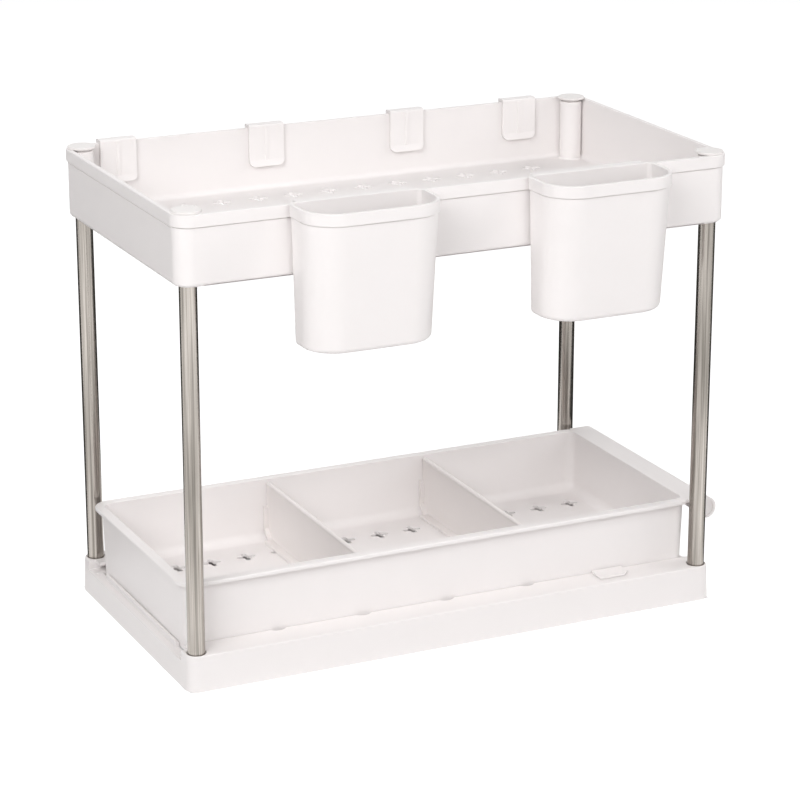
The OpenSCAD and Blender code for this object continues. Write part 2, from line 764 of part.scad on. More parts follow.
base_frame();
tube_at(-1, -1);  // tube_front_left
tube_at(1, -1);  // tube_front_right
tube_at(-1, 1);  // tube_back_left
tube_at(1, 1);  // tube_back_right
top_tray();
cap_at(-1, -1);  // cap_front_left
cap_at(1, -1);  // cap_front_right
cap_at(-1, 1);  // cap_back_left
cap_at(1, 1);  // cap_back_right
drawer();
divider_at(drawer_mid_x - divider_offset);  // divider_left
divider_at(drawer_mid_x + divider_offset);  // divider_right
stop_at(-1);  // stop_front
stop_at(1);  // stop_back
cup_at(cup_left_in - tube_x);  // cup_left
cup_at(tube_x - cup_right_in);  // cup_right
hook_at(hook_x[0]);  // hook_1
hook_at(hook_x[1]);  // hook_2
hook_at(hook_x[2]);  // hook_3
hook_at(hook_x[3]);  // hook_4
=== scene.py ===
"""Under sink organizer: a moulded base with a pull-out drawer, four steel tubes, a top tray,
two hanging cups and four hanging hooks. Laid out as an add-on and run as a script."""

import math
import bmesh
import bpy
from collections import namedtuple
from mathutils import Matrix, Vector


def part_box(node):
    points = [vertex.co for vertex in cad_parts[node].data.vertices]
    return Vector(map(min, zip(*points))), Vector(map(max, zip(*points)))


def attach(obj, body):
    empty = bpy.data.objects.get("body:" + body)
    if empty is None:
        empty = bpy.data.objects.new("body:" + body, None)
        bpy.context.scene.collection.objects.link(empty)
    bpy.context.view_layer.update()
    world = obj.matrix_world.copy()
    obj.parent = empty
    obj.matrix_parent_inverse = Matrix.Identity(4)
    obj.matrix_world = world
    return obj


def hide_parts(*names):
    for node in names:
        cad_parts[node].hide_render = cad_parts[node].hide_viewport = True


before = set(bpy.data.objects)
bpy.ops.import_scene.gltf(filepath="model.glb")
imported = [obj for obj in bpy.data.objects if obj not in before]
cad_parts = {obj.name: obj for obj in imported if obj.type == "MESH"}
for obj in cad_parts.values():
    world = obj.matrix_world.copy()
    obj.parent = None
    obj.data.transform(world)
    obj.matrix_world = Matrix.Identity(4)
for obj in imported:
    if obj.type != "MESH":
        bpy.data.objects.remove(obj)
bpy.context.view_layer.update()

bl_info = {
    "name": "Under sink organizer",
    "version": (1, 0, 0),
    "blender": (4, 5, 0),
    "location": "View3D > Sidebar > Organizer",
    "description": "Builds the looks of a two-tier under sink organizer around its CAD frame",
    "category": "Object",
}

MM = 0.001
ROUND_STEPS = 8
TURN_STEPS = 48
SIDES = (("front", -1), ("back", 1))
ENDS = (("left", -1), ("right", 1))
CORNERS = [(f"{side}_{end}", sx, sy) for side, sy in SIDES for end, sx in ENDS]


# Sizes and colours


def linear(hex_colour):
    """An sRGB hex colour as the linear red, green and blue that the shaders take."""
    parts = [int(hex_colour[k:k + 2], 16) / 255 for k in (1, 3, 5)]
    return tuple(c / 12.92 if c <= 0.04045 else ((c + 0.055) / 1.055) ** 2.4 for c in parts)


def length(name, description, millimetres):
    """A length property. Its default is given in millimetres."""
    return bpy.props.FloatProperty(
        name=name, description=description, default=millimetres * MM, min=0, precision=5, unit="LENGTH")


def colour(name, description, hex_colour):
    """A colour property. Its default is given as an sRGB hex value."""
    return bpy.props.FloatVectorProperty(
        name=name, description=description, default=linear(hex_colour), min=0, max=1, size=3, subtype="COLOR")


class ORGANIZER_PG_base(bpy.types.PropertyGroup):
    """Sizes of the base and of the clips on its decks"""
    height: length("Deck height", "Height of the two decks", 25.5)
    wall: length("Wall", "Wall of the skirt, the webs and the ledges", 2.4)
    draft: length("Skirt draft", "How far the skirt leans out at its foot", 1.1)
    deck_x: length("Deck half length", "From the middle to an end of the deck", 201.9)
    deck_y: length("Deck half width", "From the middle to the outer edge of a deck", 107.9)
    corner_r: length("Corner radius", "Radius of the base's corners", 8.0)
    deck_in: length("Deck inner edge", "From the middle to the inner edge of a deck", 84.9)
    edge_r: length("Edge radius", "Rounding of the deck's outer edge", 0.9)
    soft_r: length("Small rounding", "Rounding of the small edges", 0.4)
    channel_h: length("Channel height", "Height of the slide channel under a deck", 4.5)
    web_y: length("Web place", "From the middle to the web beside a channel", 92.6)
    ledge_in: length("Ledge inner edge", "From the middle to the inner edge of a ledge", 82.9)
    sill_h: length("Sill height", "Height of the lowered end walls", 18.0)
    sill_w: length("Sill width", "Width of the lowered end walls", 4.8)
    end_gap_y: length("End gap", "From the middle to the end of a lowered end wall", 92.2)
    lip_h: length("Lip height", "How far the stop lip stands above its sill", 4.0)
    lip_y: length("Lip half length", "From the middle to an end of the stop lip", 69.9)
    rib_t: length("Rib thickness", "Thickness of the ribs under the decks", 1.8)
    notch_pitch: length("Notch pitch", "Distance between the notches in a deck's edge", 64.0)
    notch_w: length("Notch width", "Width of a notch in a deck's edge", 11.0)
    notch_d: length("Notch depth", "Depth of a notch in a deck's edge", 2.7)
    strap_w: length("Strap width", "Width of the floor straps", 16.0)
    strap_pitch: length("Strap pitch", "Distance between the floor straps", 96.0)
    socket_floor: length("Socket floor", "Plastic left under a tube", 3.0)
    mouth_w: length("Socket mouth", "How much wider a socket is at its mouth", 0.7)
    mouth_d: length("Socket mouth depth", "How deep that wider mouth reaches", 1.6)
    stop_x: length("Stop place", "Where the two stop clips sit along the decks", 128.0)
    stop_len: length("Stop length", "Length of a stop clip's cap", 24.0)
    stop_w: length("Stop width", "Width of a stop clip's cap", 15.0)
    stop_t: length("Stop thickness", "Thickness of a stop clip's cap", 1.8)
    stop_cut: length("Stop cut corner", "Size of the cut corner of a stop clip", 5.0)
    stop_foot: length("Stop foot height", "Height of the narrower foot under a stop clip's cap", 0.6)
    stop_foot_in: length("Stop foot inset", "How far that foot stands back from the cap's edge", 0.8)
    tooth_len: length("Tooth length", "Length of a stop clip's tooth", 10.0)
    tooth_t: length("Tooth thickness", "Thickness of a stop clip's tooth", 2.2)
    nib_w: length("Nib width", "How far a tooth hooks under its deck", 2.0)


class ORGANIZER_PG_tube(bpy.types.PropertyGroup):
    """Sizes of the tubes and the caps over them"""
    x: length("Tube place along X", "From the middle to a tube's axis", 194.0)
    y: length("Tube place along Y", "From the middle to a tube's axis", 100.0)
    radius: length("Tube radius", "Outer radius of a tube", 6.0)
    wall: length("Tube wall", "Wall of a tube", 0.8)
    fit: length("Socket clearance", "Gap between a tube and its socket", 0.15)
    boss_r: length("Boss radius", "Outer radius of the sockets and sleeves", 8.25)
    cap_r: length("Cap radius", "Radius of a corner cap", 10.0)
    cap_t: length("Cap thickness", "Thickness of a corner cap", 1.6)
    cap_edge: length("Cap edge", "Rounding of a corner cap's edge", 0.5)
    plug_r: length("Plug radius", "Radius of the plug under a cap", 5.1)
    plug_len: length("Plug length", "Length of the plug under a cap", 12.0)


class ORGANIZER_PG_tray(bpy.types.PropertyGroup):
    """Sizes of the top tray"""
    rim_z: length("Rim height", "Height of the tray's rim", 330.0)
    low_z: length("Underside", "Height of the tray's underside", 281.3)
    floor_z: length("Floor", "Height of the tray's floor", 284.1)
    recess: length("Recess", "How far the floor is raised under the tray", 0.6)
    rim_x: length("Rim half length", "From the middle to the rim's outer face", 205.5)
    rim_y: length("Rim half width", "From the middle to the rim's outer face", 111.5)
    rim_r: length("Rim corner radius", "Radius of the rim's corners", 13.0)
    band_h: length("Band height", "Height of the rim band", 8.5)
    band_t: length("Band depth", "How far the rim band stands out", 1.25)
    wall: length("Wall", "Wall of the tray", 2.4)
    round_r: length("Bottom rounding", "Rounding of the tray's bottom edge", 3.6)
    edge_r: length("Rim rounding", "Rounding of the rim's edges", 0.8)
    groove_w: length("Groove width", "Height of the fine groove under the rim band", 0.7)
    groove_d: length("Groove depth", "Depth of the fine groove under the rim band", 0.5)
    groove_end: length("Groove width at the ends", "Height of that groove at the tray's two ends", 1.6)
    line_low: length("Foot line place", "How far the shadow line lies above the tray's underside", 0.35)
    line_w: length("Foot line width", "Height of the shadow line along the tray's foot", 1.1)
    sleeve_r: length("Sleeve radius", "Outer radius of the sleeves over the tubes", 7.95)
    neck_h: length("Sleeve neck", "Height of the narrower neck under a cap", 1.8)
    neck_d: length("Neck depth", "How far that neck stands back from its sleeve", 2.2)
    flare: length("Sleeve flare", "Flare at the foot of each sleeve", 1.6)
    shoulder: length("Shoulder depth", "How far below the rim the tubes end", 4.0)
    drain_span: length("Drain length", "Length across a cross-shaped drain hole", 14.0)
    drain_w: length("Drain width", "Width of a drain hole's arms", 4.0)
    drain_pitch: length("Drain pitch", "Distance between the drain holes of a row", 27.5)
    row_pitch: length("Row pitch", "Distance between the rows of drain holes", 55.0)


class ORGANIZER_PG_drawer(bpy.types.PropertyGroup):
    """Sizes of the drawer and its dividers"""
    low_z: length("Runner height", "Height of the drawer's underside", 18.8)
    floor_z: length("Floor", "Height of the drawer's floor", 24.1)
    top_z: length("Rim height", "Height of the drawer's rim", 70.9)
    under_z: length("Floor underside", "Height of the underside of the floor", 21.9)
    low_x: length("Half length", "Half length of the drawer at its bottom", 193.64)
    low_y: length("Half width", "Half width of the drawer at its bottom", 84.37)
    draft: length("Draft", "How far each wall leans out up to the rim", 1.0)
    wall: length("Wall", "Wall of the drawer", 2.3)
    rim_w: length("Rim width", "How far the rim stands out", 5.0)
    rim_h: length("Rim thickness", "Height of the rim band", 3.0)
    corner_r: length("Corner radius", "Radius of the drawer's corners", 8.0)
    cove: length("Cove", "Rounding between the walls and the floor", 7.0)
    runner_t: length("Runner thickness", "Thickness of the runner flanges", 2.4)
    runner_w: length("Runner width", "Width of the runner flanges", 6.4)
    lug_len: length("Lug length", "Length of the lugs that meet the stops", 6.0)
    lug_top: length("Lug top", "Height of the lugs' top", 22.7)
    travel: length("Travel", "How far the drawer slides until its lugs meet the stops", 260.0)
    grip_w: length("Grip width", "Flat width of the grip up to its roll", 13.5)
    grip_r: length("Grip radius", "Outer radius of the rolled grip", 8.0)
    grip_t: length("Grip wall", "Wall of the rolled grip", 2.0)
    web_t: length("End web thickness", "Thickness of the webs inside the roll's ends", 1.2)
    web_in: length("End web place", "How far those webs lie inside the roll's ends", 0.8)
    drain_pitch: length("Drain pitch", "Distance between the drain holes of a row", 26.8)
    row_pitch: length("Row pitch", "Distance between the rows of drain holes", 54.0)
    divider_t: length("Divider thickness", "Thickness of a divider", 2.0)
    divider_top: length("Divider height", "Height of the middle of a divider's bead", 67.2)
    bead_r: length("Bead radius", "Radius of the bead along a divider's top", 1.7)
    flange_w: length("Flange width", "Width of the flange round a divider", 3.2)
    flange_t: length("Flange thickness", "Thickness of that flange", 2.0)
    flange_top: length("Flange height", "Height of the flange's top", 51.1)
    foot_w: length("Foot width", "Width of a divider's foot", 6.0)


class ORGANIZER_PG_hanging(bpy.types.PropertyGroup):
    """Sizes of the cups and hooks that hang on the tray's rim"""
    cup_w: length("Cup width", "Width of a cup at its rim", 96.0)
    cup_d: length("Cup depth", "Depth of a cup at its rim", 43.0)
    cup_top: length("Cup top", "Height of a cup's rim", 331.4)
    cup_low: length("Cup bottom", "Height of a cup's bottom", 236.2)
    cup_back: length("Cup back", "From the middle to a cup's back", 111.9)
    cup_wall: length("Cup wall", "Wall of a cup", 2.0)
    taper: length("Side taper", "How far each side wall of a cup leans in", 2.4)
    front_taper: length("Front taper", "How far the front wall of a cup leans in", 6.0)
    front_r: length("Front corner radius", "Radius of a cup's front corners", 23.0)
    back_r: length("Back corner radius", "Radius of a cup's back corners", 5.5)
    cup_round: length("Bottom rounding", "Rounding of a cup's bottom edge", 3.5)
    cup_band_h: length("Cup band height", "Height of a cup's rim band", 8.3)
    cup_band_t: length("Cup band depth", "How far a cup's rim band stands out", 0.7)
    groove_w: length("Cup groove width", "Height of the fine groove under a cup's band", 0.6)
    groove_d: length("Cup groove depth", "Depth of the fine groove under a cup's band", 0.4)
    hanger_h: length("Hanger depth", "How far a cup's hanger reaches into the tray", 14.0)
    hanger_in: length("Hanger end", "From a cup's side to the end of its hanger", 6.0)
    leg_out: length("Leg place", "From the middle to the leg's outer face", 107.45)
    hook_w: length("Hook width", "Width of a hook's clip", 27.0)
    hook_t: length("Hook thickness", "Thickness of a hook's plastic", 2.1)
    leg_h: length("Hook leg height", "Height of a hook's inner leg", 31.0)
    plate_h: length("Hook plate height", "Height of a hook's outer plate", 34.0)
    plate_r: length("Plate corner radius", "Radius of a hook's lower corners", 5.0)
    finger_w: length("Finger width", "Width of a hook's finger", 9.0)
    finger_r: length("Finger radius", "Inner radius of the finger's bend", 6.0)
    finger_tip: length("Finger tip", "Length of the finger's upturned tip", 9.0)
    finger_drop: length("Finger drop", "How far the bend starts below the plate", 4.0)
    hang_z: length("Hanging height", "Height of the underside of a hanger", 330.2)
    rib_w: length("Leg rib width", "Width of the rib on a hook's leg", 3.0)
    rib_t: length("Leg rib height", "Height of the rib on a hook's leg", 0.6)
    lip_h: length("Leg lip height", "Height of the pull flange of a hook's leg", 4.0)
    lip_d: length("Leg lip depth", "Depth of the pull flange of a hook's leg", 1.2)
    bend_r: length("Bend radius", "Rounding of a hook's two bends over the rim", 1.5)


class ORGANIZER_PG_finish(bpy.types.PropertyGroup):
    """Colours of the plastics and the steel"""
    shell: colour("Shell plastic", "Base, tray, cups, hooks and stops", "#F0ECEB")
    drawer: colour("Drawer plastic", "Drawer", "#F1EDEC")
    divider: colour("Divider plastic", "Dividers", "#EDE8E6")
    cap: colour("Cap plastic", "Corner caps", "#EDE9E7")
    steel: colour("Tube steel", "Tubes", "#C9C2BB")
    steel_dark: colour("Tube steel, dark streaks", "Darker streaks of the brushing", "#7F7A73")


class ORGANIZER_PG_stage(bpy.types.PropertyGroup):
    """Camera, lights and floor"""
    lens: bpy.props.FloatProperty(
        name="Lens", description="Focal length of the camera, in millimetres", default=129.51, min=1)
    camera_place: bpy.props.FloatVectorProperty(
        name="Camera", description="Where the camera stands", default=(-0.8336, -1.7702, 0.7810),
        subtype="TRANSLATION", unit="LENGTH")
    aim: bpy.props.FloatVectorProperty(
        name="Aim", description="The point that the camera looks at", default=(0.0013, -0.0064, 0.1490),
        subtype="TRANSLATION", unit="LENGTH")
    lamp_far: bpy.props.FloatProperty(
        name="Lamp distance", description="How far the lamps stand from the object", default=2.2, min=0, unit="LENGTH")
    lamp_size: bpy.props.FloatProperty(
        name="Lamp size", description="Side of the square, soft lamps", default=1.3, min=0, unit="LENGTH")
    key_power: bpy.props.FloatProperty(
        name="Key light", description="Power of the lamp at the front left", default=28, min=0, unit="POWER")
    front_power: bpy.props.FloatProperty(
        name="Front light", description="Power of the lamp in front", default=12.5, min=0, unit="POWER")
    side_power: bpy.props.FloatProperty(
        name="Side light", description="Power of the lamp at the right", default=18, min=0, unit="POWER")
    back_power: bpy.props.FloatProperty(
        name="Back light", description="Power of the lamp behind", default=14, min=0, unit="POWER")
    room_light: bpy.props.FloatProperty(
        name="Room light", description="Strength of the even light from all round", default=0.15, min=0)


def in_millimetres(group):
    """The lengths of a property group as plain millimetres."""
    names = list(group.__annotations__)
    return namedtuple("Sizes", names)(*[getattr(group, name) / MM for name in names])


def sizes(context, part):
    """One group of sizes, in millimetres."""
    return in_millimetres(getattr(context.scene, "organizer_" + part))


# Shapes

Ring = namedtuple("Ring", "left right front back front_r back_r z")


def ring(half_x, half_y, radius, z, mid_x=0.0):
    """A rectangle with round corners, of the given half sizes, at height z."""
    return Ring(mid_x - half_x, mid_x + half_x, -half_y, half_y, radius, radius, z)


def corner_of(shape, x, y):
    """The centre and radius of the corner that a point of a ring belongs to."""
    split_y = (shape.front + shape.front_r + shape.back - shape.back_r) / 2
    radius = shape.front_r if y < split_y else shape.back_r
    centre_y = shape.front + radius if y < split_y else shape.back - radius
    centre_x = shape.left + radius if x < (shape.left + shape.right) / 2 else shape.right - radius
    return centre_x, centre_y, radius


def outline(bm, shape):
    """The flat face that fills a ring."""
    verts = bmesh.ops.create_grid(bm, x_segments=1, y_segments=1, size=1)["verts"]
    for v in verts:
        v.co = (
            shape.right if v.co.x > 0 else shape.left,
            shape.back if v.co.y > 0 else shape.front,
            shape.z,
        )
    middle = (shape.front + shape.back) / 2
    groups = (
        ([v for v in verts if v.co.y < middle], shape.front_r),
        ([v for v in verts if v.co.y > middle], shape.back_r),
    )
    faces = {f for v in verts for f in v.link_faces}
    known = set(bm.faces) - faces
    for corner_verts, radius in groups:
        if radius < 1e-6:
            continue
        bmesh.ops.bevel(
            bm, geom=corner_verts, offset=radius, segments=ROUND_STEPS, profile=0.5,
            affect="VERTICES", material=-1)
    return (set(bm.faces) - known).pop()


def reshape(verts, was, now):
    """Moves the vertices that lie on one ring to the same places of another."""
    for v in verts:
        x, y, radius = corner_of(was, v.co.x, v.co.y)
        turn = ((v.co.x - x) / radius, (v.co.y - y) / radius) if radius else (0, 0)
        left = v.co.x < (was.left + was.right) / 2
        front = v.co.y < (was.front + was.front_r + was.back - was.back_r) / 2
        new_r = now.front_r if front else now.back_r
        new_x = now.left + new_r if left else now.right - new_r
        new_y = now.front + new_r if front else now.back - new_r
        v.co = (new_x + turn[0] * new_r, new_y + turn[1] * new_r, now.z)


def grow(bm, edges, was, now):
    """Extrudes the edges of one ring and moves them to the next. Gives the new edges."""
    made = bmesh.ops.extrude_edge_only(bm, edges=edges)["geom"]
    verts = {g for g in made if isinstance(g, bmesh.types.BMVert)}
    reshape(verts, was, now)
    return [g for g in made if isinstance(g, bmesh.types.BMEdge) and set(g.verts) <= verts]


def stack(bm, rings, through=False):
    """A closed skin over a stack of rings. With through, its last ring joins its first, round a
    hole. Gives the edges of each ring."""
    face = outline(bm, rings[0])
    loops = [list(face.edges)]
    if through:
        bmesh.ops.delete(bm, geom=[face], context="FACES_ONLY")
    for was, now in zip(rings, rings[1:]):
        loops.append(grow(bm, loops[-1], was, now))
    if through:
        closing = grow(bm, loops[-1], rings[-1], rings[0])
        verts = {v for e in closing + loops[0] for v in e.verts}
        bmesh.ops.remove_doubles(bm, verts=list(verts), dist=0.01)
        loops[0] = [e for e in loops[0] if e.is_valid]
    else:
        bmesh.ops.contextual_create(bm, geom=loops[-1])
    bmesh.ops.recalc_face_normals(bm, faces=bm.faces[:])
    return loops


def soften(bm, edges, radius, steps=3):
    """Rounds the given edges."""
    bmesh.ops.bevel(
        bm, geom=edges, offset=radius, segments=steps, profile=0.5, affect="EDGES",
        clamp_overlap=True, material=-1)


def block(bm, low, high, radius=0.0, steps=2, keep=None):
    """A box between two corners. Its edges are rounded where keep says so, or all of them."""
    centre = (Vector(low) + Vector(high)) / 2
    size = Vector(high) - Vector(low)
    place = Matrix.Translation(centre) @ Matrix.Diagonal((*size, 1))
    verts = bmesh.ops.create_cube(bm, size=1, matrix=place)["verts"]
    if radius:
        edges = {e for v in verts for e in v.link_edges}
        chosen = [e for e in edges if keep is None or keep((e.verts[0].co + e.verts[1].co) / 2)]
        soften(bm, chosen, radius, steps)


def turned(bm, profile, x, y, closed=False):
    """A shape turned about the upright axis at x, y from a profile of (radius, height)."""
    verts = [bm.verts.new((x + r, y, z)) for r, z in profile]
    pairs = list(zip(verts, verts[1:])) + ([(verts[-1], verts[0])] if closed else [])
    edges = [bm.edges.new(pair) for pair in pairs]
    before = set(bm.faces)
    bmesh.ops.spin(
        bm, geom=verts + edges, cent=(x, y, 0), axis=(0, 0, 1), dvec=(0, 0, 0),
        angle=2 * math.pi, steps=TURN_STEPS, use_merge=True)
    faces = [f for f in bm.faces if f not in before]
    around = {v for f in faces for v in f.verts}
    bmesh.ops.remove_doubles(bm, verts=list(around), dist=1e-4)
    bmesh.ops.recalc_face_normals(bm, faces=bm.faces[:])


def sheet_of(bm, points, shift, round_r=0.0, steps=3):
    """A plate: the face through a few points, with round corners, pushed out by shift."""
    face = bm.faces.new([bm.verts.new(p) for p in points])
    if round_r:
        before = set(bm.faces) - {face}
        bmesh.ops.bevel(
            bm, geom=list(face.verts), offset=round_r, segments=steps, profile=0.5,
            affect="VERTICES", material=-1)
        face = (set(bm.faces) - before).pop()
    made = bmesh.ops.extrude_face_region(bm, geom=[face])["geom"]
    bmesh.ops.translate(
        bm, vec=Vector(shift), verts=[g for g in made if isinstance(g, bmesh.types.BMVert)])
    bmesh.ops.recalc_face_normals(bm, faces=bm.faces[:])


def combine(bm, tool, operation):
    """Joins a tool to a shape (UNION), cuts it away (DIFFERENCE) or keeps what they share
    (INTERSECT). The tool is used up."""
    holders = []
    for source in (bm, tool):
        mesh = bpy.data.meshes.new("scratch")
        source.to_mesh(mesh)
        holders.append(bpy.data.objects.new("scratch", mesh))
        bpy.context.scene.collection.objects.link(holders[-1])
    cut = holders[0].modifiers.new("cut", "BOOLEAN")
    cut.operation, cut.solver, cut.object = operation, "EXACT", holders[1]
    graph = bpy.context.evaluated_depsgraph_get()
    made = bpy.data.meshes.new_from_object(holders[0].evaluated_get(graph))
    bm.clear()
    bm.from_mesh(made)
    tool.free()
    meshes = [made] + [h.data for h in holders]
    for holder in holders:
        bpy.data.objects.remove(holder)
    for mesh in meshes:
        bpy.data.meshes.remove(mesh)
    bmesh.ops.remove_doubles(bm, verts=bm.verts[:], dist=1e-3)
    bmesh.ops.dissolve_degenerate(bm, dist=1e-3, edges=bm.edges[:])


def joined(bm, *builders):
    """Joins the shapes that the builders make, one after the other."""
    for build in builders:
        tool = bmesh.new()
        build(tool)
        combine(bm, tool, "UNION")


def cut_away(bm, *builders):
    """Cuts away the shapes that the builders make, one after the other."""
    for build in builders:
        tool = bmesh.new()
        build(tool)
        combine(bm, tool, "DIFFERENCE")


def spread(count, pitch):
    """Places that are spread evenly about zero."""
    return [(k - (count - 1) / 2) * pitch for k in range(count)]


def drain_arms(columns, rows, floor_z, thick, half_x, half_y):
    """The cutter for one arm of every drain hole, with a small flare at the floor."""
    flare = 0.15

    def build(bm):
        radius = min(half_x, half_y)
        for x in columns:
            for y in rows:
                levels = ((0, floor_z - thick - 1), (0, floor_z - flare), (flare, floor_z), (flare, floor_z + 1))
                stack(bm, [
                    Ring(x - half_x - g, x + half_x + g, y - half_y - g, y + half_y + g,
                         radius + g - 0.02, radius + g - 0.02, z) for g, z in levels])
    return build


def finish_piece(name, bm, node, body, material, sharp=32):
    """Turns a shape in millimetres into a piece in metres that stands for a CAD node."""
    bmesh.ops.scale(bm, vec=(MM, MM, MM), verts=bm.verts[:])
    mesh = bpy.data.meshes.new(name)
    bm.to_mesh(mesh)
    bm.free()
    mesh.polygons.foreach_set("use_smooth", [True] * len(mesh.polygons))
    mesh.set_sharp_from_angle(angle=math.radians(sharp))
    mesh.materials.append(material)
    piece = bpy.data.objects.new(name, mesh)
    bpy.context.scene.collection.objects.link(piece)
    normals = piece.modifiers.new("even_normals", "WEIGHTED_NORMAL")
    normals.keep_sharp = True
    normals.weight = 60
    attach(piece, body)
    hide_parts(node)
    return piece


# Materials


def add(tree, kind, settings=None, **inputs):
    """Adds a node. Settings are its own properties; inputs are its sockets' values or links."""
    node = tree.nodes.new(kind)
    for key, value in (settings or {}).items():
        setattr(node, key, value)
    for key, value in inputs.items():
        socket = node.inputs[int(key[1:])] if key[0] == "i" and key[1:].isdigit() else node.inputs[key.replace("_", " ")]
        if isinstance(value, bpy.types.NodeSocket):
            tree.links.new(value, socket)
        else:
            socket.default_value = value
    return node


def new_material(name):
    """An empty node material and its output."""
    material = bpy.data.materials.new(name)
    material.use_nodes = True
    material.node_tree.nodes.clear()
    return material, material.node_tree


def moulded_plastic(name, tint, roughness=0.42):
    """Polypropylene, injection moulded in a finely eroded mould: a soft satin that breaks up
    the highlights, with faint cloudy differences of tone from the flow of the plastic."""
    if name in bpy.data.materials:
        return bpy.data.materials[name]
    material, tree = new_material(name)
    place = add(tree, "ShaderNodeTexCoord").outputs["Object"]
    cloud = add(tree, "ShaderNodeTexNoise", Vector=place, Scale=22, Detail=3, Roughness=0.55)
    shade = tuple(c * 0.965 for c in tint)
    tone = add(
        tree, "ShaderNodeMix", {"data_type": "RGBA"}, i0=cloud.outputs["Fac"], i6=(*shade, 1), i7=(*tint, 1))
    # The real grain is about 0.1 mm; it is drawn at about 0.8 mm so that it shows at all
    grain = add(tree, "ShaderNodeTexNoise", Vector=place, Scale=1250, Detail=2, Roughness=0.5)
    relief = add(tree, "ShaderNodeBump", Strength=0.12, Distance=0.00004, Height=grain.outputs["Fac"])
    rough = add(
        tree, "ShaderNodeMapRange", Value=grain.outputs["Fac"], i3=roughness - 0.05, i4=roughness + 0.07)
    shader = add(
        tree, "ShaderNodeBsdfPrincipled", Base_Color=tone.outputs[2],
        Roughness=rough.outputs[0], IOR=1.49, Normal=relief.outputs[0])
    add(tree, "ShaderNodeOutputMaterial", Surface=shader.outputs[0])
    return material


def brushed_steel(name, tint, dark):
    """Stainless steel tube, brushed along its length: fine streaks that run down the tube,
    lighter and darker, with a reflection that is smeared across them."""
    if name in bpy.data.materials:
        return bpy.data.materials[name]
    material, tree = new_material(name)
    place = add(tree, "ShaderNodeTexCoord").outputs["Object"]
    # The real scratches are under 0.1 mm wide; they are drawn about 1.2 mm wide so that they show
    along = add(tree, "ShaderNodeMapping", Vector=place, Scale=(850, 850, 7))
    streak = add(tree, "ShaderNodeTexNoise", Vector=along.outputs[0], Scale=1, Detail=4, Roughness=0.6)
    wide_along = add(tree, "ShaderNodeMapping", Vector=place, Scale=(260, 260, 10))
    wide = add(tree, "ShaderNodeTexNoise", Vector=wide_along.outputs[0], Scale=1, Detail=2, Roughness=0.5)
    both = add(
        tree, "ShaderNodeMath", {"operation": "MULTIPLY_ADD"}, i0=wide.outputs["Fac"], i1=0.8, i2=streak.outputs["Fac"])
    factor = add(tree, "ShaderNodeMapRange", Value=both.outputs[0], i1=0.65, i2=1.15)
    tone = add(
        tree, "ShaderNodeMix", {"data_type": "RGBA"}, i0=factor.outputs[0], i6=(*dark, 1), i7=(*tint, 1))
    rough = add(tree, "ShaderNodeMapRange", Value=streak.outputs["Fac"], i3=0.18, i4=0.32)
    relief = add(tree, "ShaderNodeBump", Strength=0.25, Distance=0.00003, Height=streak.outputs["Fac"])
    shader = add(
        tree, "ShaderNodeBsdfPrincipled", Base_Color=tone.outputs[2], Metallic=1.0,
        Roughness=rough.outputs[0], Normal=relief.outputs[0])
    add(tree, "ShaderNodeOutputMaterial", Surface=shader.outputs[0])
    return material


def shell_plastic(context):
    return moulded_plastic("moulded_polypropylene_shell", context.scene.organizer_finish.shell)


def seen_rays(tree):
    """1 for rays from the camera, from a mirror or through glass, and 0 for the light's own."""
    path = add(tree, "ShaderNodeLightPath")
    total = path.outputs["Is Camera Ray"]
    for name in ("Is Glossy Ray", "Is Transmission Ray"):
        total = add(
            tree, "ShaderNodeMath", {"operation": "MAXIMUM"}, i0=total, i1=path.outputs[name]).outputs[0]
    return total


# Pieces


